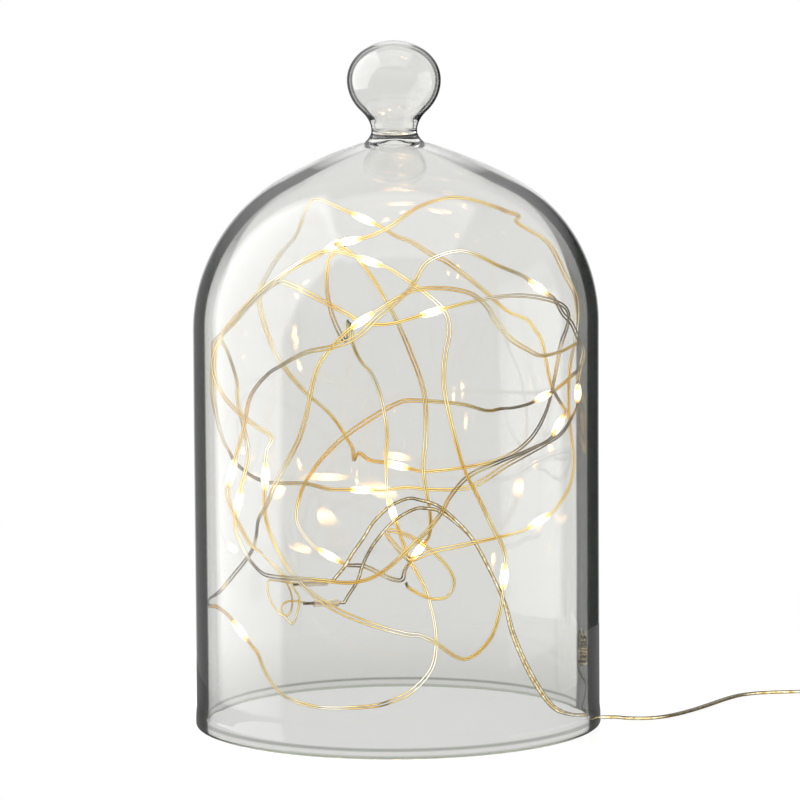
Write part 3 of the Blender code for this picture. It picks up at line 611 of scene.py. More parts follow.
@dataclass(frozen=True)
class Relief:
    """A bump: its pattern, the share of it that shows, and its depth in metres."""

    pattern: Grain
    strength: float
    depth: float

    def add(self, tree: bpy.types.NodeTree, shader: bpy.types.Node) -> None:
        """Adds the bump to a shader.

        Args:
            tree: The node tree.
            shader: The shader.
        """
        bump = add_node(tree, "ShaderNodeBump", {
            "Strength": self.strength, "Distance": self.depth}, {"Height": self.pattern.add(tree)})
        tree.links.new(bump.outputs["Normal"], shader.inputs["Normal"])


@dataclass(frozen=True)
class PaintedEdgeShade:
    """A painted shade that a surface turns to as it is seen edge on, from one Facing to another."""

    colour: str
    facing: Span

    def add(self, tree: bpy.types.NodeTree, tone: bpy.types.NodeSocket) -> bpy.types.NodeSocket:
        """Adds the painted edge shade over a tone.

        Args:
            tree: The node tree.
            tone: The surface's own colour.

        Returns:
            The two together.
        """
        turn = add_node(tree, "ShaderNodeLayerWeight", {"Blend": 0.5})
        depth = add_node(tree, "ShaderNodeMapRange", {
            "From Min": self.facing[0], "From Max": self.facing[1],
            "interpolation_type": "SMOOTHSTEP"}, {"Value": turn.outputs["Facing"]})
        both = add_node(tree, "ShaderNodeMix", {"data_type": "RGBA", 7: linear(self.colour)}, {
            0: depth.outputs["Result"], 6: tone})
        return both.outputs[2]


class Finish:
    """A material, made once and shared by the pieces that have it.

    Its slot is the frame's, and its values are those of the shader's own sockets. Its tones lie
    in blotches, and its glow follows the piece's length, each on the sockets named for it.
    """

    name: ClassVar[str] = ""
    slot: ClassVar[Slot] = Slot.PLASTIC
    values: ClassVar[dict[str, float]] = {}
    coloured: ClassVar[tuple[str, ...]] = ("Base Color",)
    made: ClassVar[dict[str, bpy.types.Material]] = {}
    blotches: ClassVar[Grain] = Grain(0.01)
    tones: ClassVar[Stops] = ()
    # Painted shade where the surface is seen edge on.
    edge: ClassVar[PaintedEdgeShade | None] = None
    glow: ClassVar[Stops] = ()
    glowing: ClassVar[tuple[str, ...]] = ("Emission Color",)
    relief: ClassVar[Relief | None] = None

    def material(self) -> bpy.types.Material:
        """Returns the finish's material, which is made at the first call."""
        if self.name not in Finish.made:
            material = bpy.data.materials.new(self.name)
            material.use_nodes = True
            Finish.made[self.name] = material
            tree = material.node_tree
            shader = tree.nodes["Principled BSDF"]
            for name, value in self.values.items():
                shader.inputs[name].default_value = value
            self.dress(tree, shader)
            if self.relief:
                self.relief.add(tree, shader)
        return Finish.made[self.name]

    def dress(self, tree: bpy.types.NodeTree, shader: bpy.types.Node) -> None:
        """Adds the nodes that colour the shader.

        Args:
            tree: The node tree.
            shader: The shader.
        """
        if self.tones:
            tone = add_ramp(tree, self.blotches.add(tree), self.tones)
            if self.edge:
                tone = self.edge.add(tree, tone)
            for entry in self.coloured:
                tree.links.new(tone, shader.inputs[entry])
        if self.glow:
            along = add_node(tree, "ShaderNodeAttribute", {"attribute_name": "along"})
            glow = add_ramp(tree, along.outputs["Fac"], self.glow)
            for entry in self.glowing:
                tree.links.new(glow, shader.inputs[entry])


@dataclass(frozen=True)
class Mask:
    """A share that goes from one end to the other as its source goes over a span."""

    source: str
    span: Span
    ends: Span = (0, 1)


@dataclass(frozen=True)
class BlownGlass(Finish):
    """Mouth-blown soda-lime glass, thick and clear, with faint ripples from blowing.

    Its colour darkens where the wall is seen edge on: painted shade for the dark surroundings seen
    in the wall there. On the crown, and at the outline of the shoulder, a painted reflection of the
    bright room above pales it. Its foot is greener, and a darker band along the rim's bead is a
    painted shade line for the bead's refraction.
    """

    name = "blown soda-lime glass"
    slot = Slot.GLASS
    values = {"Roughness": 0.0, "IOR": 1.5, "Transmission Weight": 1.0}
    # Clear in the middle and darkening edge on: painted shade for the dark surroundings seen in the
    # wall.
    tones = (
        (0.0, "#ECECEA"), (0.60, "#ECECEA"), (0.655, "#C6C8C2"), (0.673, "#1E201D"),
        (0.72, "#040504"))
    relief = Relief(Grain(0.028, 1.0, (1, 1, 0.35)), 0.25, 0.0004)
    clear: str = "#ECECEA"
    # Masks that narrow the painted edge shade.
    dark: tuple[Mask, ...] = ()
    # Painted reflection of the bright room above, on the crown.
    crown: Mask = Mask("upward", (0.90, 0.95))
    # Painted reflection of the bright room, at the shoulder's outline.
    painted_reflection: tuple[Mask, ...] = (Mask("lean", (1.24, 1.28)),)
    rise: float = 0.5
    # The rim's greener foot, and a darker band that is a painted shade line along the bead.
    rim_tint_and_painted_line: Stops = (
        (0.10, "#C9CFC4"), (0.16, "#FFFFFF"), (0.36, "#FFFFFF"), (0.41, "#AEB2AA"),
        (0.46, "#AEB2AA"), (0.52, "#FFFFFF"))
    ring_reach: float = 0.008

    def dress(self, tree: bpy.types.NodeTree, shader: bpy.types.Node) -> None:
        """Adds the glass's colour: the painted edge shade, the painted reflection of the bright room
        above, and the rim's greener foot with its painted shade line.

        Args:
            tree: The node tree.
            shader: The shader.
        """
        spot = add_node(tree, "ShaderNodeTexCoord")
        way = add_node(tree, "ShaderNodeSeparateXYZ", {}, {0: spot.outputs["Normal"]})
        place = add_node(tree, "ShaderNodeSeparateXYZ", {}, {0: spot.outputs["Object"]})
        upward = add_node(tree, "ShaderNodeMath", {"operation": "ABSOLUTE"},
                          {0: way.outputs["Z"]}).outputs[0]
        facing = add_node(tree, "ShaderNodeLayerWeight", {"Blend": 0.5}).outputs["Facing"]
        lean = add_node(tree, "ShaderNodeMath", {"operation": "MULTIPLY_ADD", 1: self.rise}, {
            0: upward, 2: facing}).outputs[0]
        sources = {"upward": upward, "facing": facing, "lean": lean, "across": place.outputs["X"]}
        # The painted edge shade, by Facing.
        tint_and_painted_shade = add_ramp(tree, self.masked(tree, sources, self.dark, facing), self.tones)
        # The painted reflection pales the glass towards its clear colour.
        painted_reflection = add_node(tree, "ShaderNodeMath", {"operation": "MAXIMUM"}, {
            0: self.masked(tree, sources, (self.crown,)),
            1: self.masked(tree, sources, self.painted_reflection)})
        wall = add_node(tree, "ShaderNodeMix", {"data_type": "RGBA", 7: linear(self.clear)}, {
            0: painted_reflection.outputs[0], 6: tint_and_painted_shade})
        # The rim's greener foot and its painted shade line, by height.
        height = add_node(tree, "ShaderNodeMapRange", {"From Max": self.ring_reach},
                          {"Value": place.outputs["Z"]})
        rim_tint_and_painted_line = add_ramp(tree, height.outputs["Result"], self.rim_tint_and_painted_line)
        both = add_node(tree, "ShaderNodeMix", {
            "data_type": "RGBA", "blend_type": "MULTIPLY", 0: 1.0},
            {6: wall.outputs[2], 7: rim_tint_and_painted_line})
        tree.links.new(both.outputs[2], shader.inputs["Base Color"])

    @staticmethod
    def masked(tree: bpy.types.NodeTree, sources: dict[str, bpy.types.NodeSocket],
               masks: Sequence[Mask],
               whole: bpy.types.NodeSocket | None = None) -> bpy.types.NodeSocket:
        """Multiplies masks together.

        Args:
            tree: The node tree.
            sources: What masks may read, by name.
            masks: The masks.
            whole: What they are multiplied with, if anything.

        Returns:
            Their product.
        """
        for mask in masks:
            share = add_node(tree, "ShaderNodeMapRange", {
                "From Min": mask.span[0], "From Max": mask.span[1], "To Min": mask.ends[0],
                "To Max": mask.ends[1]}, {"Value": sources[mask.source]}).outputs["Result"]
            whole = share if whole is None else add_node(
                tree, "ShaderNodeMath", {"operation": "MULTIPLY"}, {0: whole, 1: share}).outputs[0]
        return whole


@dataclass(frozen=True)
class BlownGlassInside(BlownGlass):
    """The same glass on the wall's inner face, whose painted edge shade is narrower up the shoulder.

    Towards -X its upright inner edge is paler: a painted reflection of the light from the left.
    """

    name = "blown soda-lime glass, inner face"
    # Darkening edge on is painted shade.
    tones = (
        (0.0, "#ECECEA"), (0.62, "#ECECEA"), (0.64, "#1C1E1B"), (0.86, "#2A2C28"),
        (0.90, "#0A0B0A"))
    # Narrows the painted edge shade up the shoulder.
    dark: tuple[Mask, ...] = (Mask("upward", (0.3, 0.9), (1.0, 0.75)),)
    crown: Mask = Mask("upward", (0.89, 0.94))
    # Painted reflection of the light from the left, on the upright inner edge towards -X.
    painted_reflection: tuple[Mask, ...] = (
        Mask("across", (0.03, -0.03), (0, 0.95)), Mask("upward", (0.55, 0.15)),
        Mask("facing", (0.84, 0.80)))


class FairyWire(Finish):
    """Drawn copper wire in gold lacquer, browner in patches where the lacquer is thick.

    It glows a little in its own tones, painted light for the diodes' light on it, and it is darker
    towards its edges, a painted shade that rounds each strand.
    """

    name = "gold lacquered wire"
    slot = Slot.WIRE
    # Its emission, in its own tones, is painted light.
    values = {
        "Metallic": 0.3, "Roughness": 0.22, "Specular IOR Level": 0.2, "Emission Strength": 0.5}
    coloured = ("Base Color", "Emission Color")
    blotches = Grain(0.03, 3.0)
    tones = ((0.40, "#D4A42E"), (0.54, "#F0D680"), (0.66, "#FFF8E6"))
    # Painted shade towards each strand's edges.
    edge = PaintedEdgeShade("#42360F", (0.06, 0.36))
    relief = Relief(Grain(0.0012), 0.3, 0.00005)


class LitResin(Finish):
    """Slightly cloudy cast resin round a lit diode, whose light it spreads.

    It glows along the drop's length, and turns amber towards the ends.
    """

    name = "cast resin"
    slot = Slot.RESIN
    values = {
        "Roughness": 0.22, "IOR": 1.45, "Transmission Weight": 1.0, "Emission Strength": 2.4}
    blotches = Grain(0.002)
    tones = ((0.3, "#FFF0CC"), (0.7, "#FFF8E6"))
    glow = (
        (0.0, "#4A3210"), (0.12, "#8E6A30"), (0.30, "#F0CE90"), (0.45, "#FFF0D0"),
        (0.55, "#FFF0D0"), (0.70, "#F0CE90"), (0.88, "#8E6A30"), (1.0, "#4A3210"))


class LitDiode(Finish):
    """The diode's light in the resin: white-hot in the middle, with warm ends."""

    name = "lit diode"
    slot = Slot.RESIN
    values = {"Roughness": 0.5, "Emission Strength": 16.0}
    glowing = ("Base Color", "Emission Color")
    glow = (
        (0.12, "#7A4A10"), (0.24, "#E0983C"), (0.38, "#FFDCA0"), (0.66, "#FFDCA0"),
        (0.78, "#E0983C"), (0.90, "#7A4A10"))


class ClearPvc(Finish):
    """Clear extruded PVC insulation, slightly soft, with the faint drag marks of the die.

    It is a little grey, and darkens to olive where it is seen edge on, a painted shade.
    """

    name = "clear PVC insulation"
    slot = Slot.LEAD
    values = {"Roughness": 0.06, "IOR": 1.53, "Transmission Weight": 1.0}
    blotches = Grain(0.012)
    tones = ((0.3, "#F4F3EC"), (0.7, "#FCFBF7"))
    # Painted shade where the lead is seen edge on.
    edge = PaintedEdgeShade("#17160C", (0.07, 0.30))
    relief = Relief(Grain(0.002), 0.15, 0.00005)


class SleeveSilicone(Finish):
    """Thin milky silicone sleeving, half clear, cream where the joint's flux has yellowed it."""

    name = "milky silicone sleeve"
    slot = Slot.LEAD
    values = {"Roughness": 0.3, "IOR": 1.2, "Transmission Weight": 0.8}
    blotches = Grain(0.004)
    tones = ((0.35, "#FBF1DC"), (0.65, "#FFFCF6"))


class TinnedCopper(Finish):
    """Fine stranded copper, silvery with a warm cast, streaked by its bright and dark strands.

    It glows a little in its own tones: painted light that brightens it.
    """

    name = "tinned copper strand"
    slot = Slot.LEAD
    # Its emission, in its own tones, is painted light.
    values = {"Metallic": 0.5, "Roughness": 0.3, "Emission Strength": 0.55}
    coloured = ("Base Color", "Emission Color")
    blotches = Grain(0.0015)
    tones = ((0.35, "#C69E44"), (0.52, "#F0DCA0"), (0.66, "#FFFBF0"))
    relief = Relief(Grain(0.0005), 0.5, 0.00005)


class SolderedJoint(Finish):
    """Twisted copper with dull grey solder and browned flux."""

    name = "soldered joint"
    slot = Slot.WIRE
    values = {"Metallic": 1.0, "Roughness": 0.42}
    blotches = Grain(0.0016)
    tones = ((0.35, "#4A3522"), (0.65, "#8A745A"))
    relief = Relief(Grain(0.0006), 0.6, 0.0001)


class MouldedAbs(Finish):
    """White injection-moulded ABS, satin, with a fine spark-eroded grain.

    The grain is drawn at 0.6 mm, coarser than the real 0.1 mm, so that it shows.
    """

    name = "moulded ABS, white"
    values = {"Roughness": 0.38, "IOR": 1.52}
    blotches = Grain(0.02)
    tones = ((0.3, "#E4E3DE"), (0.7, "#EDECE8"))
    relief = Relief(Grain(0.0006), 0.3, 0.00004)


class NickelBrass(Finish):
    """Nickel-plated brass pins, bright, with fine turning rings."""

    name = "nickel-plated brass"
    slot = Slot.PIN
    values = {"Metallic": 1.0, "Roughness": 0.22}
    blotches = Grain(0.004, 3.0, (0.2, 0.2, 12))
    tones = ((0.35, "#B9B4A8"), (0.65, "#D9D6CE"))
    relief = Relief(blotches, 0.3, 0.00003)


class BoardLaminate(Finish):
    """Green glass-epoxy board, semi-gloss, with the faint weave of its cloth."""

    name = "glass-epoxy laminate"
    values = {"Roughness": 0.35}
    blotches = Grain(0.0008)
    tones = ((0.35, "#17482A"), (0.65, "#256B3C"))


class CoreLaminations(Finish):
    """A transformer's stacked steel sheets under brown varnish, with their edges showing."""

    name = "varnished steel laminations"
    values = {"Metallic": 0.7, "Roughness": 0.45}
    blotches = Grain(0.004, 2.0, (0.1, 0.1, 9))
    tones = ((0.4, "#3A3026"), (0.6, "#6A5B46"))
    relief = Relief(blotches, 0.4, 0.0001)


@dataclass(frozen=True)
class WhiteTable(Finish):
    """A white lacquered table top that mirrors faintly and keeps soft shadows.

    Its lacquer is lifted to the backdrop's white for the eye and for glass. Behind glass a painted
    glow makes it brighter towards its edge, and painted shade dims it near the middle.
    """

    name = "white lacquered table"
    values = {"Roughness": 0.03, "IOR": 1.45, "Specular IOR Level": 0.5}
    blotches = Grain(0.3)
    tones = ((0.3, "#F4F4F3"), (0.7, "#F7F7F6"))
    lift: float = 1.31
    # Painted light and shade on the table seen through glass: dimmer in the middle, brighter at the
    # edge.
    painted_glow_behind_glass: Span = (0.80, 1.00)
    fade: Span = (0.07, 0.22)
    mirrored: float = 0.18
    share: float = 0.58
    mirrored_share: float = 0.95

    def dress(self, tree: bpy.types.NodeTree, shader: bpy.types.Node) -> None:
        """Adds the lacquer's tone, and the glow that lifts it, which behind glass is a painted
        gradient of light and shade.

        Args:
            tree: The node tree.
            shader: The shader.
        """
        super().dress(tree, shader)
        path = add_node(tree, "ShaderNodeLightPath")
        spot = add_node(tree, "ShaderNodeTexCoord")
        direct = add_node(tree, "ShaderNodeMix", {
            "data_type": "FLOAT", 2: self.mirrored, 3: self.lift}, {0: path.outputs["Is Camera Ray"]})
        out = add_node(tree, "ShaderNodeVectorMath", {"operation": "LENGTH"},
                       {0: spot.outputs["Object"]})
        # The painted gradient, by distance from the middle.
        behind = add_node(tree, "ShaderNodeMapRange", {
            "From Min": self.fade[0], "From Max": self.fade[1], "To Min": self.painted_glow_behind_glass[0],
            "To Max": self.painted_glow_behind_glass[1]}, {"Value": out.outputs["Value"]})
        level = add_node(tree, "ShaderNodeMix", {"data_type": "FLOAT"}, {
            0: path.outputs["Is Transmission Ray"], 2: direct.outputs[0],
            3: behind.outputs["Result"]})
        glow = add_node(tree, "ShaderNodeEmission", {}, {"Strength": level.outputs[0]})
        dim = add_node(tree, "ShaderNodeMath", {"operation": "MULTIPLY", 1: self.mirrored_share},
                       {0: path.outputs["Is Glossy Ray"]})
        part = add_node(tree, "ShaderNodeMix", {"data_type": "FLOAT", 3: self.share}, {
            0: path.outputs["Is Camera Ray"], 2: dim.outputs[0]})
        both = add_node(tree, "ShaderNodeMixShader", {}, {
            0: part.outputs[0], 1: shader.outputs[0], 2: glow.outputs[0]})
        output = next(node for node in tree.nodes if node.type == "OUTPUT_MATERIAL")
        tree.links.new(both.outputs[0], output.inputs["Surface"])


def finish_piece(piece: bpy.types.Object, surface: Finish, *nodes: str,
                 body: Body = Body.STRING) -> bpy.types.Object:
    """Gives a piece its material and its place in the frame, and reports it.

    Args:
        piece: The finished piece, in place.
        surface: Its finish.
        *nodes: The CAD nodes that it replaces.
        body: The body that it rides on.

    Returns:
        The same piece.
    """
    if not piece.data.materials:
        piece.data.materials.append(surface.material())
    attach(piece, body.value)
    if nodes:
        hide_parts(*nodes)
    logging.info("%s: %d faces on %s", piece.name, len(piece.data.polygons), body.value)
    return piece


@dataclass(frozen=True)
class SoftBox:
    """A lamp that faces the cloche and shows only in reflections.

    Its size is its width and height, its power is in watts, and its light fades towards its
    edges, over a share of its width, as a cloth front's does.
    """

    name: str
    place: Point
    size: Span
    power: float
    aim: Point = (0, 0, 0.12)
    soft_edge: float = 0.08
    middle_gain: float = 1.25

    def build(self) -> None:
        """Adds the lamp."""
        data = bpy.data.lights.new(self.name, "AREA")
        data.shape = "RECTANGLE"
        data.size, data.size_y = self.size
        data.energy = self.power
        self.soften(data)
        lamp = put_in(self.name, data)
        run = Vector(self.aim) - Vector(self.place)
        lamp.matrix_world = Matrix.Translation(self.place) @ run.to_track_quat(
            "-Z", "Y").to_matrix().to_4x4()
        lamp.visible_camera = False

    def soften(self, data: bpy.types.Light) -> None:
        """Fades the lamp's light towards its edges.

        Args:
            data: The lamp.
        """
        data.use_nodes = True
        tree = data.node_tree
        spot = add_node(tree, "ShaderNodeNewGeometry")
        across = add_node(tree, "ShaderNodeSeparateXYZ", {}, {0: spot.outputs["Parametric"]})
        half = 0.5
        shares = []
        for axis in ("X", "Y"):
            off = add_node(tree, "ShaderNodeMath", {"operation": "SUBTRACT", 1: half},
                           {0: across.outputs[axis]})
            away = add_node(tree, "ShaderNodeMath", {"operation": "ABSOLUTE"}, {0: off.outputs[0]})
            fade = add_node(tree, "ShaderNodeMapRange", {
                "From Min": half, "From Max": half - self.soft_edge, "To Max": self.middle_gain,
                "interpolation_type": "SMOOTHSTEP"}, {"Value": away.outputs[0]})
            shares.append(fade.outputs["Result"])
        both = add_node(tree, "ShaderNodeMath", {"operation": "MULTIPLY"},
                        {0: shares[0], 1: shares[1]})
        tree.links.new(both.outputs[0], tree.nodes["Emission"].inputs["Strength"])


@dataclass(frozen=True)
class Studio:
    """A long lens in front of the cloche, soft boxes at its sides, and a white table and wall."""

    distance: float = 2.3
    height: float = 0.4339
    right: float = 0.00158
    pitch: float = math.radians(7.46)
    roll: float = math.radians(-0.399)
    lens: float = 256.4
    sensor: float = 36.0
    nearest: float = 0.1
    lamps: tuple[SoftBox, ...] = (
        SoftBox("left soft box", (-1.3, 0.12, 0.75), (2.0, 2.6), 19.0),
        SoftBox("right soft box", (1.5, -0.1, 0.3), (1.3, 1.3), 1.5),
        SoftBox("top soft box", (0.0, -0.2, 2.2), (2.4, 2.4), 11.0))
    table_radius: float = 0.22
    table_centre: Span = (0.07, 0.02)
    table_thickness: float = 0.02
    table_easing: float = 0.003
    day: float = 0.7
    mirrored: float = 0.3
    curtain: float = 0.05
    curtain_from: Span = (0.10, 0.30)
    behind_from: Span = (0.0, 0.3)
    ceiling_from: Span = (0.10, 0.45)
    backdrop_from: Span = (0.95, 0.99)
    metal_sees: float = 0.9
    through_glass: float = 3.6

    def build(self) -> None:
        """Adds the camera, the lamps, the table and the white wall."""
        self.add_camera()
        for lamp in self.lamps:
            lamp.build()
        self.add_table()
        self.add_wall()

    def add_camera(self) -> None:
        """Adds the camera at the photograph's place and angle."""
        data = bpy.data.cameras.new("studio camera")
        data.lens = self.lens
        data.sensor_width = self.sensor
        data.clip_start = self.nearest
        camera = put_in("studio camera", data)
        turn = Matrix.Rotation(math.pi / 2 - self.pitch, 4, "X") @ Matrix.Rotation(
            self.roll, 4, "Z")
        camera.matrix_world = Matrix.Translation(
            (self.right, -self.distance, self.height)) @ turn
        bpy.context.scene.camera = camera

    def add_table(self) -> None:
        """Adds the round white table top, with an eased edge."""
        deselect_all()
        bpy.ops.mesh.primitive_cylinder_add(
            vertices=128, radius=self.table_radius, depth=self.table_thickness,
            location=(*self.table_centre, -self.table_thickness / 2))
        table = bpy.context.object
        table.name = "table"
        bpy.ops.object.transform_apply(location=True, rotation=True, scale=True)
        ease = table.modifiers.new("eased edge", "BEVEL")
        ease.width = self.table_easing
        ease.segments = 3
        bpy.ops.object.modifier_apply(modifier=ease.name)
        table.data.materials.append(WhiteTable().material())

    def add_wall(self) -> None:
        """Makes the world white for the eye, and a plain soft light for the rest.

        In the glass the room is mirrored: a white wall behind the cloche, a white ceiling, a
        dark curtain behind on the right, and dimmer walls. Metal, which is duller, sees an even
        near-white.
        """
        world = bpy.data.worlds.new("white studio")
        bpy.context.scene.world = world
        world.use_nodes = True
        tree = world.node_tree
        path = add_node(tree, "ShaderNodeLightPath")
        spot = add_node(tree, "ShaderNodeTexCoord")
        way = add_node(tree, "ShaderNodeSeparateXYZ", {}, {0: spot.outputs["Generated"]})
        curtain, behind, ceiling, backdrop = (
            add_node(tree, "ShaderNodeMapRange", {
                "From Min": span[0], "From Max": span[1], "To Min": ends[0], "To Max": ends[1],
                "interpolation_type": fade}, {"Value": way.outputs[axis]}).outputs["Result"]
            for axis, span, ends, fade in (
                ("X", self.curtain_from, (self.mirrored, self.curtain), "SMOOTHSTEP"),
                ("Y", self.behind_from, (0, 1), "SMOOTHSTEP"),
                ("Z", self.ceiling_from, (0, 1), "LINEAR"),
                ("Y", self.backdrop_from, (0, 1), "LINEAR")))
        room = add_node(tree, "ShaderNodeMix", {"data_type": "FLOAT", 2: self.mirrored}, {
            0: behind, 3: curtain})
        white = add_node(tree, "ShaderNodeMath", {"operation": "MAXIMUM"}, {
            0: ceiling, 1: backdrop})
        sharp = add_node(tree, "ShaderNodeMix", {"data_type": "FLOAT", 3: 1.0}, {
            0: white.outputs[0], 2: room.outputs[0]})
        shade = add_node(tree, "ShaderNodeMix", {"data_type": "FLOAT", 2: self.metal_sees}, {
            0: path.outputs["Is Singular Ray"], 3: sharp.outputs[0]})
        mirrored = add_node(tree, "ShaderNodeMix", {"data_type": "FLOAT", 2: self.day}, {
            0: path.outputs["Is Glossy Ray"], 3: shade.outputs[0]})
        bounced = add_node(tree, "ShaderNodeMath", {"operation": "GREATER_THAN", 1: 0.5},
                           {0: path.outputs["Diffuse Depth"]})
        seen = add_node(tree, "ShaderNodeMix", {
            "data_type": "FLOAT", 2: 1.0, 3: self.through_glass}, {0: bounced.outputs[0]})
        eye = add_node(tree, "ShaderNodeMath", {"operation": "MAXIMUM"}, {
            0: path.outputs["Is Camera Ray"], 1: path.outputs["Is Transmission Ray"]})
        light = add_node(tree, "ShaderNodeMix", {"data_type": "FLOAT"}, {
            0: eye.outputs[0], 2: mirrored.outputs[0], 3: seen.outputs[0]})
        tree.links.new(light.outputs[0], tree.nodes["Background"].inputs["Strength"])
        tree.nodes["Background"].inputs["Color"].default_value = linear("#FFFFFF")


@dataclass(frozen=True)
class Cloche:
    """The blown dome with its hollow knob, one piece of glass with a sealed bubble in the knob."""

    wall_radius: float = 0.0825
    wall: float = 0.0035
    straight: float = 0.1635
    shoulder: float = 0.0682
    sweep: float = math.radians(60.7)
    crown: float = 0.1743
    bead: float = 0.0004
    bead_height: float = 0.0052
    rim_rounding: float = 0.0007
    knob_radius: float = 0.01905
    knob_upper: float = 0.016
    knob_lower: float = 0.0177
    knob_wall: float = 0.0012
    ball_rise: float = 0.02473
    neck_radius: float = 0.0093
    neck_rise: float = 0.0047
    foot_radius: float = 0.0122
    seat_radius: float = 0.0113
    seat_rise: float = 0.0003
    ball_start: float = math.radians(-45)
    waist_rise: float = 0.0034
    bubble_floor: tuple[Span, ...] = ((0, 0.0009), (0.5, 0.0006), (0.8, 0))
    notch_width: float = 0.0036
    notch_height: float = 0.0022
    notch_behind: float = 0.0015
    lean: float = 0.00115
    lean_stops: tuple[Span, ...] = ((0.150, 0.0), (0.212, 1.0), (0.240, 0.0))
    rows: tuple[float, ...] = (0.75, 0.5, 0.25, 0.08)
    bead_fade: float = 1.4
    sharp: float = math.radians(40)
    sides: int = 192

    def crown_middle(self) -> Span:
        """Returns the middle of the crown's arc."""
        reach = self.shoulder - self.crown
        return (self.wall_radius - self.shoulder + reach * math.cos(self.sweep),
                self.straight + reach * math.sin(self.sweep))

    def crown_height(self, radius: float) -> float:
        """Returns the height of the crown's outer face at a distance from the axis."""
        middle = self.crown_middle()
        return middle[1] + math.sqrt(self.crown ** 2 - (radius - middle[0]) ** 2)

    def face(self, inset: float, inner_radius: float) -> Outline:
        """Draws one face of the dome, from the crown down to the foot of the shoulder.

        Args:
            inset: How far the face lies inside the outer one.
            inner_radius: Where on the crown it starts.

        Returns:
            The points (radius, height).
        """
        middle = self.crown_middle()
        crown = self.crown - inset
        shoulder = self.shoulder - inset
        edge = math.acos((inner_radius - middle[0]) / crown)
        top = arc(middle, (crown, crown), edge, self.sweep, 22)
        side = arc((self.wall_radius - self.shoulder, self.straight), (shoulder, shoulder),
                   self.sweep, 0, 26)
        return top + side[1:]

    def rim(self) -> Outline:
        """Draws the thick rim, from inside to outside, with its corners rounded."""
        inner = self.wall_radius - self.wall
        outer = self.wall_radius + self.bead
        ease = self.rim_rounding
        heights = [self.straight * part for part in self.rows]
        down = [(inner, height) for height in heights]
        corner_in = arc((inner + ease, ease), (ease, ease), math.pi, 1.5 * math.pi, 6)
        corner_out = arc((outer - ease, ease), (ease, ease), 1.5 * math.pi, math.tau, 6)
        bead = cove((outer, ease), (outer, self.bead_height),
                    (self.wall_radius, self.bead_height * self.bead_fade), 8)
        up = [(self.wall_radius, height) for height in reversed(heights)]
        return down + corner_in + corner_out + bead + up

    def ball(self, inset: float, waist: Span) -> Outline:
        """Draws one face of the knob's ball, from its waist to its top.

        Args:
            inset: How far the face lies inside the outer one.
            waist: The narrowest point (radius, height) below the ball.

        Returns:
            The points (radius, height).
        """
        middle = self.crown_height(self.seat_radius) + self.seat_rise + self.ball_rise
        radius, upper, lower = (
            size - inset for size in (self.knob_radius, self.knob_upper, self.knob_lower))
        below = arc((0, middle), (radius, lower), self.ball_start, 0, 14)
        fall = (below[0][0] - waist[0]) * lower / radius
        flare = cove(waist, (waist[0], below[0][1] - fall), below[0], 10)
        return flare + below[1:] + arc((0, middle), (radius, upper), 0, math.pi / 2, 18)[1:]

    def knob_outline(self) -> Outline:
        """Draws the knob's outside, from its foot on the crown to its top."""
        foot = (self.foot_radius, self.crown_height(self.foot_radius))
        neck = (self.neck_radius, foot[1] + self.neck_rise)
        stem = cove(foot, (neck[0], (foot[1] + neck[1]) / 2), neck, 8)
        return [foot] + stem + self.ball(0, neck)

    def bubble(self) -> Outline:
        """Draws the sealed hollow in the knob, from its floor to its top."""
        floor = self.crown_height(0) + self.knob_wall
        neck = self.neck_radius - self.knob_wall
        waist = (neck, floor + self.waist_rise)
        bottom = [(neck * share, floor + rise) for share, rise in self.bubble_floor]
        return bottom + cove(bottom[-1], (neck, floor), waist, 8) + self.ball(self.knob_wall, waist)

    def shift(self, height: float) -> float:
        """Returns how far blowing left the shoulder off its axis at a height."""
        for (low, near), (high, far) in zip(self.lean_stops, self.lean_stops[1:]):
            if low <= height <= high:
                part = (height - low) / (high - low)
                return self.lean * (near + (far - near) * part * part * (3 - 2 * part))
        return 0.0

    def build(self) -> None:
        """Blows the glass: spins it, cuts the notch, and seals the bubble in the knob."""
        inside = self.face(self.wall, 0.0)
        outside = list(reversed(self.face(0.0, self.foot_radius)))
        outline = inside + self.rim() + outside + self.knob_outline()[1:]
        glass = lathe("glass_cloche", outline, self.sides)
        self.cut_notch(glass)
        hollow = lathe("knob_bubble", self.bubble(), self.sides, inward=True)
        only(glass)
        hollow.select_set(True)
        bpy.ops.object.join()
        for spot in glass.data.vertices:
            spot.co.x += self.shift(spot.co.z)
        crease(glass, self.sharp)
        for surface in (BlownGlass(), BlownGlassInside()):
            glass.data.materials.append(surface.material())
        knob = self.crown_height(0) + self.knob_wall
        for face in glass.data.polygons:
            middle = face.center
            out = Vector((middle.x, middle.y, max(middle.z - self.straight, 0)))
            face.material_index = int(middle.z < knob and face.normal.dot(out) < 0)
        finish_piece(glass, BlownGlass(), "cloche_dome", "cloche_knob", body=Body.CLOCHE)

    def cut_notch(self, glass: bpy.types.Object) -> None:
        """Cuts the small arch under the rim that the lead runs through."""
        deselect_all()
        half = self.notch_width / 2
        bpy.ops.mesh.primitive_cylinder_add(
            vertices=48, radius=half, depth=8 * self.wall, rotation=(0, math.pi / 2, 0),
            location=(self.wall_radius, self.notch_behind, self.notch_height - half))
        cutter = bpy.context.object
        bpy.ops.object.transform_apply(location=True, rotation=True, scale=True)
        for spot in cutter.data.vertices:
            if spot.co.z < self.notch_height - half:
                spot.co.z -= 2 * half
        only(glass)
        change = glass.modifiers.new("notch", "BOOLEAN")
        change.operation = "DIFFERENCE"
        change.solver = "EXACT"
        change.object = cutter
        bpy.ops.object.modifier_apply(modifier=change.name)
        bpy.data.objects.remove(cutter)


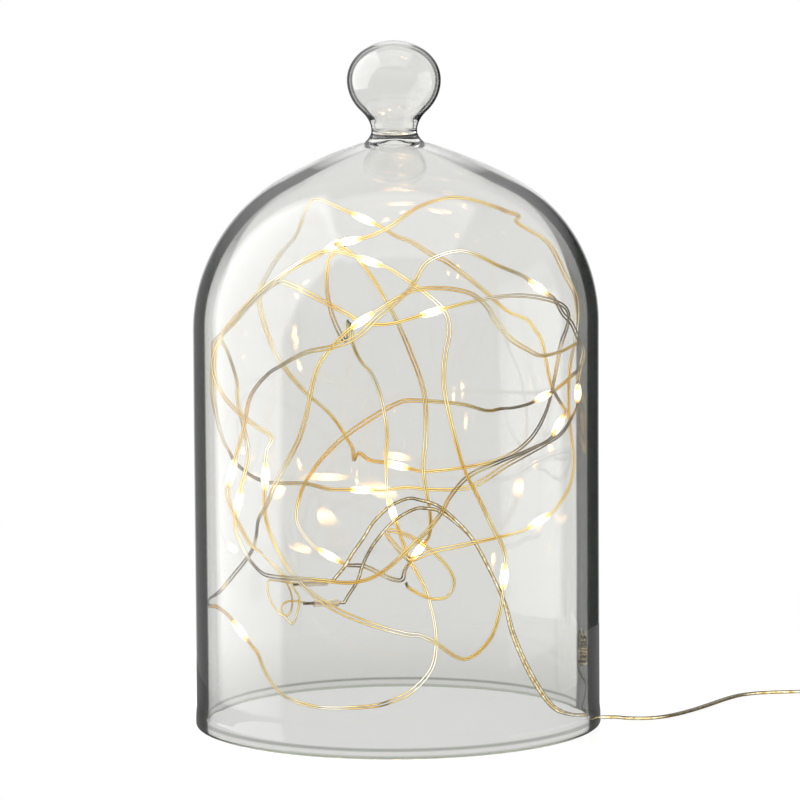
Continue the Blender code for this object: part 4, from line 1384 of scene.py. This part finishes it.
@dataclass(frozen=True)
class FairyString:
    """The string of lights: resin drops with twin wire from each to the next."""

    drop_length: float = 0.0105
    drop_radius: float = 0.0015
    drop_end: float = 0.0008
    drop_fullness: float = 0.75
    drop_roll: float = 2.4
    strand: float = 0.0007
    tail_spacing: float = 0.0012
    strand_spacing: float = 0.00078
    splay: float = 0.0007
    twist: float = 0.11
    twist_angle: float = 0.6
    twist_step: float = 1.7
    tuck: float = 0.0008
    glow_radius: float = 0.00095
    glow_length: float = 0.0078
    glow_end: float = 0.3
    sleeve_run: Span = (-0.002, 0.0012)

    def places(self) -> list[tuple[Vector, Vector]]:
        """Returns the middle and direction of each light."""
        routes = [in_metres(route) for route in [FIRST_STRETCH, *STRETCHES]]
        return [((before[-1] + after[0]) / 2, (after[0] - before[-1]).normalized())
                for before, after in zip(routes, routes[1:])]

    def build(self) -> None:
        """Makes the lights, the wire between them and the two ends of it."""
        places = self.places()
        self.build_drops(places)
        for number in range(1, len(STRETCHES) + 1):
            self.build_wire(number, places)
        self.build_tails(places[0])

    def build_drops(self, places: Sequence[tuple[Vector, Vector]]) -> None:
        """Models one drop and copies it to every place.

        Args:
            places: The middle and direction of each light.
        """
        outer = self.drop_outline(self.drop_length, self.drop_radius, self.drop_end)
        first = lathe("light_pattern", outer, 20)
        glow = lathe("glow_pattern", self.drop_outline(
            self.glow_length, self.glow_radius, self.glow_end * self.glow_radius), 12)
        for part, surface in ((first, LitResin()), (glow, LitDiode())):
            part.data.materials.append(surface.material())
            along = part.data.attributes.new("along", "FLOAT", "POINT")
            for spot in part.data.vertices:
                along.data[spot.index].value = 0.5 + spot.co.z / self.drop_length
        only(first)
        glow.select_set(True)
        bpy.ops.object.join()
        for number, (middle, axis) in enumerate(places, 1):
            drop = put_in(f"light_{number:02}", first.data.copy())
            drop.data.name = drop.name
            roll = Matrix.Rotation(number * self.drop_roll, 4, "Z")
            drop.data.transform(placed(middle, axis) @ roll)
            finish_piece(drop, LitResin(), f"led_drop_{number:02}")
        bpy.data.objects.remove(first)

    def drop_outline(self, length: float, radius: float, end: float) -> Outline:
        """Draws a long drop, full in the middle, about the origin.

        Args:
            length: Its length.
            radius: Its radius in the middle.
            end: Its radius at the ends, which are flat.

        Returns:
            The points (radius, height).
        """
        steps = 16
        outline = [(0.0, -length / 2)]
        for step in range(steps + 1):
            share = step / steps
            swell = math.sin(math.pi * share) ** self.drop_fullness
            outline.append((end + (radius - end) * swell, length * (share - 0.5)))
        outline.append((0.0, length / 2))
        return outline

    def build_wire(self, number: int, places: Sequence[tuple[Vector, Vector]]) -> None:
        """Lays the twin wire that follows one light.

        Args:
            number: The light's number, from 1.
            places: The middle and direction of each light.
        """
        reach = self.drop_length / 2 - self.tuck
        middle, axis = places[number - 1]
        route = [middle + axis * reach] + in_metres(STRETCHES[number - 1])
        if number < len(places):
            middle, axis = places[number]
            route.append(middle - axis * reach)
        pair = strand_pair(smooth(route), self.strand_spacing, self.twist, self.twist_angle,
                           number * self.twist_step, self.splay)
        wire = strands(f"fairy_wire_{number:02}", pair, self.strand)
        finish_piece(wire, FairyWire(), f"wire_{number:02}")

    def build_tails(self, first_place: tuple[Vector, Vector]) -> None:
        """Lays the two single wires that pair up at the string's start.

        Args:
            first_place: The middle and direction of the first light.
        """
        middle, axis = first_place
        paired = in_metres(FIRST_STRETCH) + [middle - axis * (self.drop_length / 2 - self.tuck)]
        for name, own, sleeve, side in (
            ("upper", UPPER_TAIL, UPPER_SLEEVE, -1), ("lower", LOWER_TAIL, LOWER_SLEEVE, 1),
        ):
            start, end = in_metres(sleeve)
            run = (end - start).normalized()
            joined = beside(paired, side * self.tail_spacing / 2)
            joined[-1] = paired[-1].lerp(joined[-1], 0.5)
            route = [end + run * reach for reach in self.sleeve_run] + in_metres(own) + joined
            wire = strands(f"start_wire_{name}", [smooth(route)], self.strand)
            finish_piece(wire, FairyWire(), f"wire_tail_{name}")


@dataclass(frozen=True)
class Lead:
    """The clear twin lead: its two cores in the glass, their splices, and the free lead outside."""

    width: float = 0.0024
    thickness: float = 0.00125
    core: float = 0.0014
    core_spacing: float = 0.0018
    copper: float = 0.0006
    bared: float = 0.0006
    lift: float = 0.0001
    sleeve_radius: float = 0.0015
    sleeve_bore: float = 0.0012
    sleeve_lip: float = 0.00015
    sleeve_waist: float = 0.97
    joint_tuck: float = 0.001
    joint_reach: float = 0.0045
    joint_strand: float = 0.0007
    joint_spacing: float = 0.00065
    joint_turn: float = 0.0026
    joint_steps: int = 60
    exit: Point = (0.0832, 0.0015, 0.000725)
    notch_x: float = 0.0829
    length: float = 1.69
    coil_centre: Point = (0.201, 0.086, 0.0)
    coil_inner: float = 0.0138
    coil_pitch: float = 0.0032
    layer_pitch: float = 0.0022
    layers: int = 4
    layer_turns: float = 3.18
    coil_start: float = math.radians(-80)
    turn_points: int = 36
    reverse_turns: float = 0.5
    tie_thickness: float = 0.0008
    tie_width: float = 0.003
    tie_clearance: float = 0.0004
    relief_tip: Point = (0.189, 0.0516, 0.0085)
    rim_run: float = 2.5
    coil_step: float = 0.0003
    bridge: Point = (0, 0.010, 0.0006)
    relief_runs: Point = (4, 1.5, 0.5)
    sharp: float = math.radians(50)

    def build_inside(self) -> None:
        """Lays the two cores in the glass, each with its copper, splice and sleeve."""
        rim = Vector((self.notch_x, self.exit[1], INNER_LEAD[0][2] * MM))
        shared = [rim] + in_metres(INNER_LEAD)
        for name, splice, own, sleeve, side in (
            ("front", "upper", FRONT_CORE, UPPER_SLEEVE, 1),
            ("back", "lower", BACK_CORE, LOWER_SLEEVE, -1),
        ):
            start, end = in_metres(sleeve)
            run = (end - start).normalized()
            middle = (start + end) / 2
            route = beside(shared, -side * self.core_spacing / 2) + in_metres(own)
            route += [start - run * 2 * self.core]
            line = smooth(route) + [middle - run * self.bared]
            skin = strands(f"lead_{name}_skin", [line], self.core, 3)
            finish_piece(skin, ClearPvc(), f"lead_core_{name}")
            copper = strands(f"lead_{name}_copper", [line + [middle]], self.copper)
            finish_piece(copper, TinnedCopper())
            self.build_splice(splice, start, end)

    def build_splice(self, name: str, start: Vector, end: Vector) -> None:
        """Makes one splice: two wires twisted and soldered, in a clear sleeve.

        Args:
            name: Which of the two.
            start: The sleeve's end on the core.
            end: Its other end.
        """
        run = (end - start).normalized()
        root = (start + end) / 2 - run * self.joint_tuck
        length = (end - root).length + self.joint_reach
        middle = [root + run * length * step / self.joint_steps
                  for step in range(self.joint_steps + 1)]
        joint = strands(f"splice_joint_{name}", strand_pair(
            middle, self.joint_spacing, self.joint_turn, math.tau, 0.0), self.joint_strand)
        finish_piece(joint, SolderedJoint())
        size = (end - start).length
        bore, radius = self.sleeve_bore, self.sleeve_radius
        outline = [(bore, 0.0), (bore, size)]
        outline += arc(((bore + radius) / 2, size), (self.sleeve_lip, self.sleeve_lip),
                       math.pi, 0, 4)
        outline += [(radius, size), (radius * self.sleeve_waist, size / 2), (radius, 0.0),
                    (bore, 0.0)]
        sleeve = lathe(f"splice_sleeve_{name}_clear", outline, 24)
        sleeve.data.transform(placed(start, run))
        finish_piece(sleeve, SleeveSilicone(), f"splice_sleeve_{name}")

    def coil_height(self, turns: float) -> float:
        """Returns the height of the coil's line after a number of turns."""
        climbed = 0.0
        for layer in range(1, self.layers):
            part = (turns - layer * self.layer_turns) / self.reverse_turns + 0.5
            part = min(max(part, 0), 1)
            climbed += part * part * (3 - 2 * part)
        floor = self.lift + self.tie_thickness + self.tie_clearance
        return floor + self.thickness / 2 + climbed * self.layer_pitch

    def coil_outer(self) -> float:
        """Returns the radius of the coil's outermost line."""
        return self.coil_inner + self.layer_turns * self.coil_pitch

    def coil_point(self, turns: float) -> Vector:
        """Returns a point on the coil after a number of turns."""
        phase = turns / self.layer_turns % 2
        inward = min(phase, 2 - phase) * self.layer_turns
        radius = self.coil_outer() - inward * self.coil_pitch
        angle = self.coil_start + math.tau * turns
        return Vector(self.coil_centre) + Vector((
            radius * math.cos(angle), radius * math.sin(angle), self.coil_height(turns)))

    def free_route(self) -> list[Vector]:
        """Draws the free lead's line, from the rim over the table and round the coil."""
        level = self.exit[2]
        total = self.layers * self.layer_turns
        steps = round(total * self.turn_points)
        turns = [self.coil_point(total * step / steps) for step in range(steps + 1)]
        lead_in = (turns[0] - turns[1]).normalized()
        lead_in.z = 0
        start = turns[0] + lead_in * self.width
        away = (start - turns[0]).normalized()
        end = start + away * self.coil_step
        rim = Vector(self.exit)
        route = [rim, rim + Vector((self.rim_run * self.width, 0, 0))]
        route += [Vector((x * MM, y * MM, level)) for x, y in OUTER_LEAD]
        route += [end + away * self.width * 2, end]
        relief = Vector(self.relief_tip)
        back = Vector((0, self.width, 0))
        bridge = smooth([turns[-1], turns[-1] - Vector(self.bridge)] + [
            relief + back * widths for widths in self.relief_runs])
        return smooth(route, 4) + [start] + turns + bridge[1:] + [relief]

    def build_free(self) -> bpy.types.Object:
        """Sweeps the flat twin section along the free lead's line.

        Returns:
            The lead.
        """
        line = self.free_route()
        radius = self.thickness / 2
        apart = self.width / 2 - radius
        half_angle = math.acos(-apart / radius)
        section = [(apart + radius * math.cos(a), radius * math.sin(a)) for a in (
            -half_angle + 2 * half_angle * step / 10 for step in range(11))]
        section += [(-x, -y) for x, y in section]
        rows = []
        for i, point in enumerate(line):
            run = line[min(i + 1, len(line) - 1)] - line[max(i - 1, 0)]
            side = run.cross(UP).normalized()
            up = side.cross(run).normalized()
            rows.append([point + side * x + up * y for x, y in section])
        count = len(section)
        faces = []
        for row in range(len(rows) - 1):
            near, far = row * count, (row + 1) * count
            faces += [(near + i, near + (i + 1) % count, far + (i + 1) % count, far + i)
                      for i in range(count)]
        faces += [tuple(reversed(range(count))),
                  tuple(range((len(rows) - 1) * count, len(rows) * count))]
        mesh = bpy.data.meshes.new("free_lead")
        mesh.from_pydata([point for row in rows for point in row], [], faces)
        lead = put_in("free_lead", mesh)
        close_up(lead)
        crease(lead, self.sharp)
        return lead

    def build_outside(self, boot: bpy.types.Object) -> None:
        """Args:
            boot: The adapter's boot, which the lead ends in. It is not used.
        """
        lead = self.build_free()
        finish_piece(lead, ClearPvc(), "outer_lead", "lead_coil")
        line = self.free_route()
        apart = self.width / 2 - self.thickness / 2
        copper = strands("free_lead_copper", [beside(line, apart), beside(line, -apart)],
                         self.copper, 1)
        finish_piece(copper, TinnedCopper())
        tie = self.build_tie()

    def build_tie(self) -> bpy.types.Object:
        """Bends a flat band round the coil's turns.

        Returns:
            The band.
        """
        gap = self.tie_clearance + self.tie_thickness / 2
        inner = self.coil_inner - self.width / 2 - gap
        outer = self.coil_outer() + self.width / 2 + gap
        floor = self.lift + self.tie_thickness / 2
        top = self.coil_height(self.layers * self.layer_turns) + self.thickness / 2 + gap
        centre = Vector(self.coil_centre)
        band = block("coil_band", centre + Vector(((inner + outer) / 2, 0, (floor + top) / 2)),
                     (outer - inner + self.tie_thickness, self.tie_width,
                      top - floor + self.tie_thickness))
        pick(band, "FACE", lambda *corners: True)
        bpy.ops.mesh.inset(thickness=self.tie_thickness, use_individual=True)
        bpy.ops.mesh.bridge_edge_loops()
        bpy.ops.object.mode_set(mode="OBJECT")
        ease_edges(band, 0.5 * self.tie_thickness, 4,
                   lambda a, b: abs(a.y - b.y) > 0.9 * self.tie_width)
        side = self.tie_width / 2
        ease_edges(band, 0.2 * self.tie_thickness, 2,
                   at_level(1, centre.y - side, centre.y + side))
        close_up(band)
        crease(band)
        return finish_piece(band, MouldedAbs(), "coil_tie")


@dataclass(frozen=True)
class Adapter:
    """The plug-in adapter: two moulded shells with pins, a boot on the lead, and its inside."""

    centre: Point = (0.189, 0.006, 0.0)
    width: float = 0.034
    length: float = 0.050
    back_height: float = 0.017
    front_height: float = 0.009
    gap: float = 0.0003
    wall: float = 0.002
    corner: float = 0.005
    chamfer: float = 0.0012
    pin_radius: float = 0.002
    pin_length: float = 0.019
    pin_spacing: float = 0.0186
    pin_rounding: float = 0.0012
    relief_length: float = 0.020
    relief_radius: float = 0.0032
    relief_tip: float = 0.0016
    relief_collar: float = 0.0025
    ribs: int = 7
    groove: float = 0.0004
    groove_ends: Span = (0.05, 0.4)
    rib_ends: tuple[Span, ...] = ((0.97, 0.45), (0.94, 0.95))

    def build(self) -> bpy.types.Object:
        """Makes the adapter's pieces and dresses the nodes inside it.

        Returns:
            The boot, which the lead ends in.
        """
        seam = self.back_height + self.gap
        self.build_shell("adapter_rear", 0.0, self.back_height, 1, "adapter_back_shell")
        self.build_shell("adapter_face", seam, self.front_height, -1, "adapter_front_shell")
        self.build_pin("adapter_pin_right", 1, "adapter_pin_a")
        self.build_pin("adapter_pin_left", -1, "adapter_pin_b")
        for node, finish in (("adapter_circuit_board", BoardLaminate()),
                             ("adapter_transformer", CoreLaminations())):
            inner = frame["nodes"][node]
            inner.data.materials.clear()
            inner.data.materials.append(finish.material())
        return self.build_boot()

    def build_shell(self, name: str, floor: float, height: float, open_side: int,
                    node: str) -> bpy.types.Object:
        """Moulds one shell from a block: round corners, eased face, and a hollow at the seam.

        Args:
            name: The piece's name.
            floor: The height that it starts at.
            height: Its own height.
            open_side: 1 where its open side is up, and -1 where it is down.
            node: The CAD node that it replaces.

        Returns:
            The shell.
        """
        middle = floor + height / 2
        shell = block(name, (*self.centre[:2], middle), (self.width, self.length, height))
        ease_edges(shell, self.corner, 8, lambda a, b: abs(a.z - b.z) > height / 2)
        ease_edges(shell, self.chamfer, 4, at_level(2, middle - open_side * height / 2))
        pick(shell, "FACE", at_level(2, middle + open_side * height / 2))
        bpy.ops.mesh.inset(thickness=self.wall)
        bpy.ops.mesh.extrude_region_move(TRANSFORM_OT_translate={
            "value": (0, 0, -open_side * (height - self.wall))})
        bpy.ops.object.mode_set(mode="OBJECT")
        close_up(shell)
        crease(shell)
        return finish_piece(shell, MouldedAbs(), node)

    def build_pin(self, name: str, side: int, node: str) -> bpy.types.Object:
        """Turns one pin, with a rounded tip and a collar at its foot.

        Args:
            name: The piece's name.
            side: 1 for the right pin and -1 for the left.
            node: The CAD node that it replaces.

        Returns:
            The pin.
        """
        radius = self.pin_radius
        tip = self.pin_rounding
        outline = [(0, 0), (radius, 0), (radius, self.pin_length - tip)]
        outline += arc((radius - tip, self.pin_length - tip), (tip, tip), 0, math.pi / 2, 8)[1:]
        outline += [(0, self.pin_length)]
        pin = lathe(name, outline, 32)
        top = self.back_height + self.gap + self.front_height + self.gap
        pin.data.transform(Matrix.Translation(
            (self.centre[0] + side * self.pin_spacing / 2, self.centre[1], top)))
        crease(pin)
        return finish_piece(pin, NickelBrass(), node)

    def build_boot(self) -> bpy.types.Object:
        """Turns the ribbed boot that eases the lead's bend where it enters.

        Returns:
            The boot.
        """
        collar = self.relief_collar
        outline = [(0.0, 0.0), (self.relief_radius, 0.0), (self.relief_radius, collar)]
        pitch = (self.relief_length - collar) / self.ribs
        for rib in range(self.ribs):
            start = collar + rib * pitch
            share = (start - collar) / (self.relief_length - collar)
            radius = self.relief_radius + (self.relief_tip - self.relief_radius) * share
            outline += [(radius - self.groove, start + part * pitch) for part in self.groove_ends]
            outline += [(radius * size, start + part * pitch) for size, part in self.rib_ends]
        outline += [(self.relief_tip, self.relief_length), (0.0, self.relief_length)]
        boot = lathe("lead_boot", outline, 32)
        place = Matrix.Translation((
            self.centre[0], self.centre[1] + self.length / 2 + self.gap, self.back_height / 2))
        boot.data.transform(place @ Matrix.Rotation(-math.pi / 2, 4, "X"))
        crease(boot)
        return finish_piece(boot, MouldedAbs(), "adapter_strain_relief")


def main() -> None:
    """Builds the studio, then the lead, the lights and the glass."""
    logging.basicConfig(level=logging.INFO, format="%(message)s")
    view = bpy.context.scene.view_settings
    view.view_transform = "Standard"
    Studio().build()
    lead = Lead()
    lead.build_outside(Adapter().build())
    lead.build_inside()
    FairyString().build()
    Cloche().build()
    deselect_all()


if __name__ == "__main__":
    main()
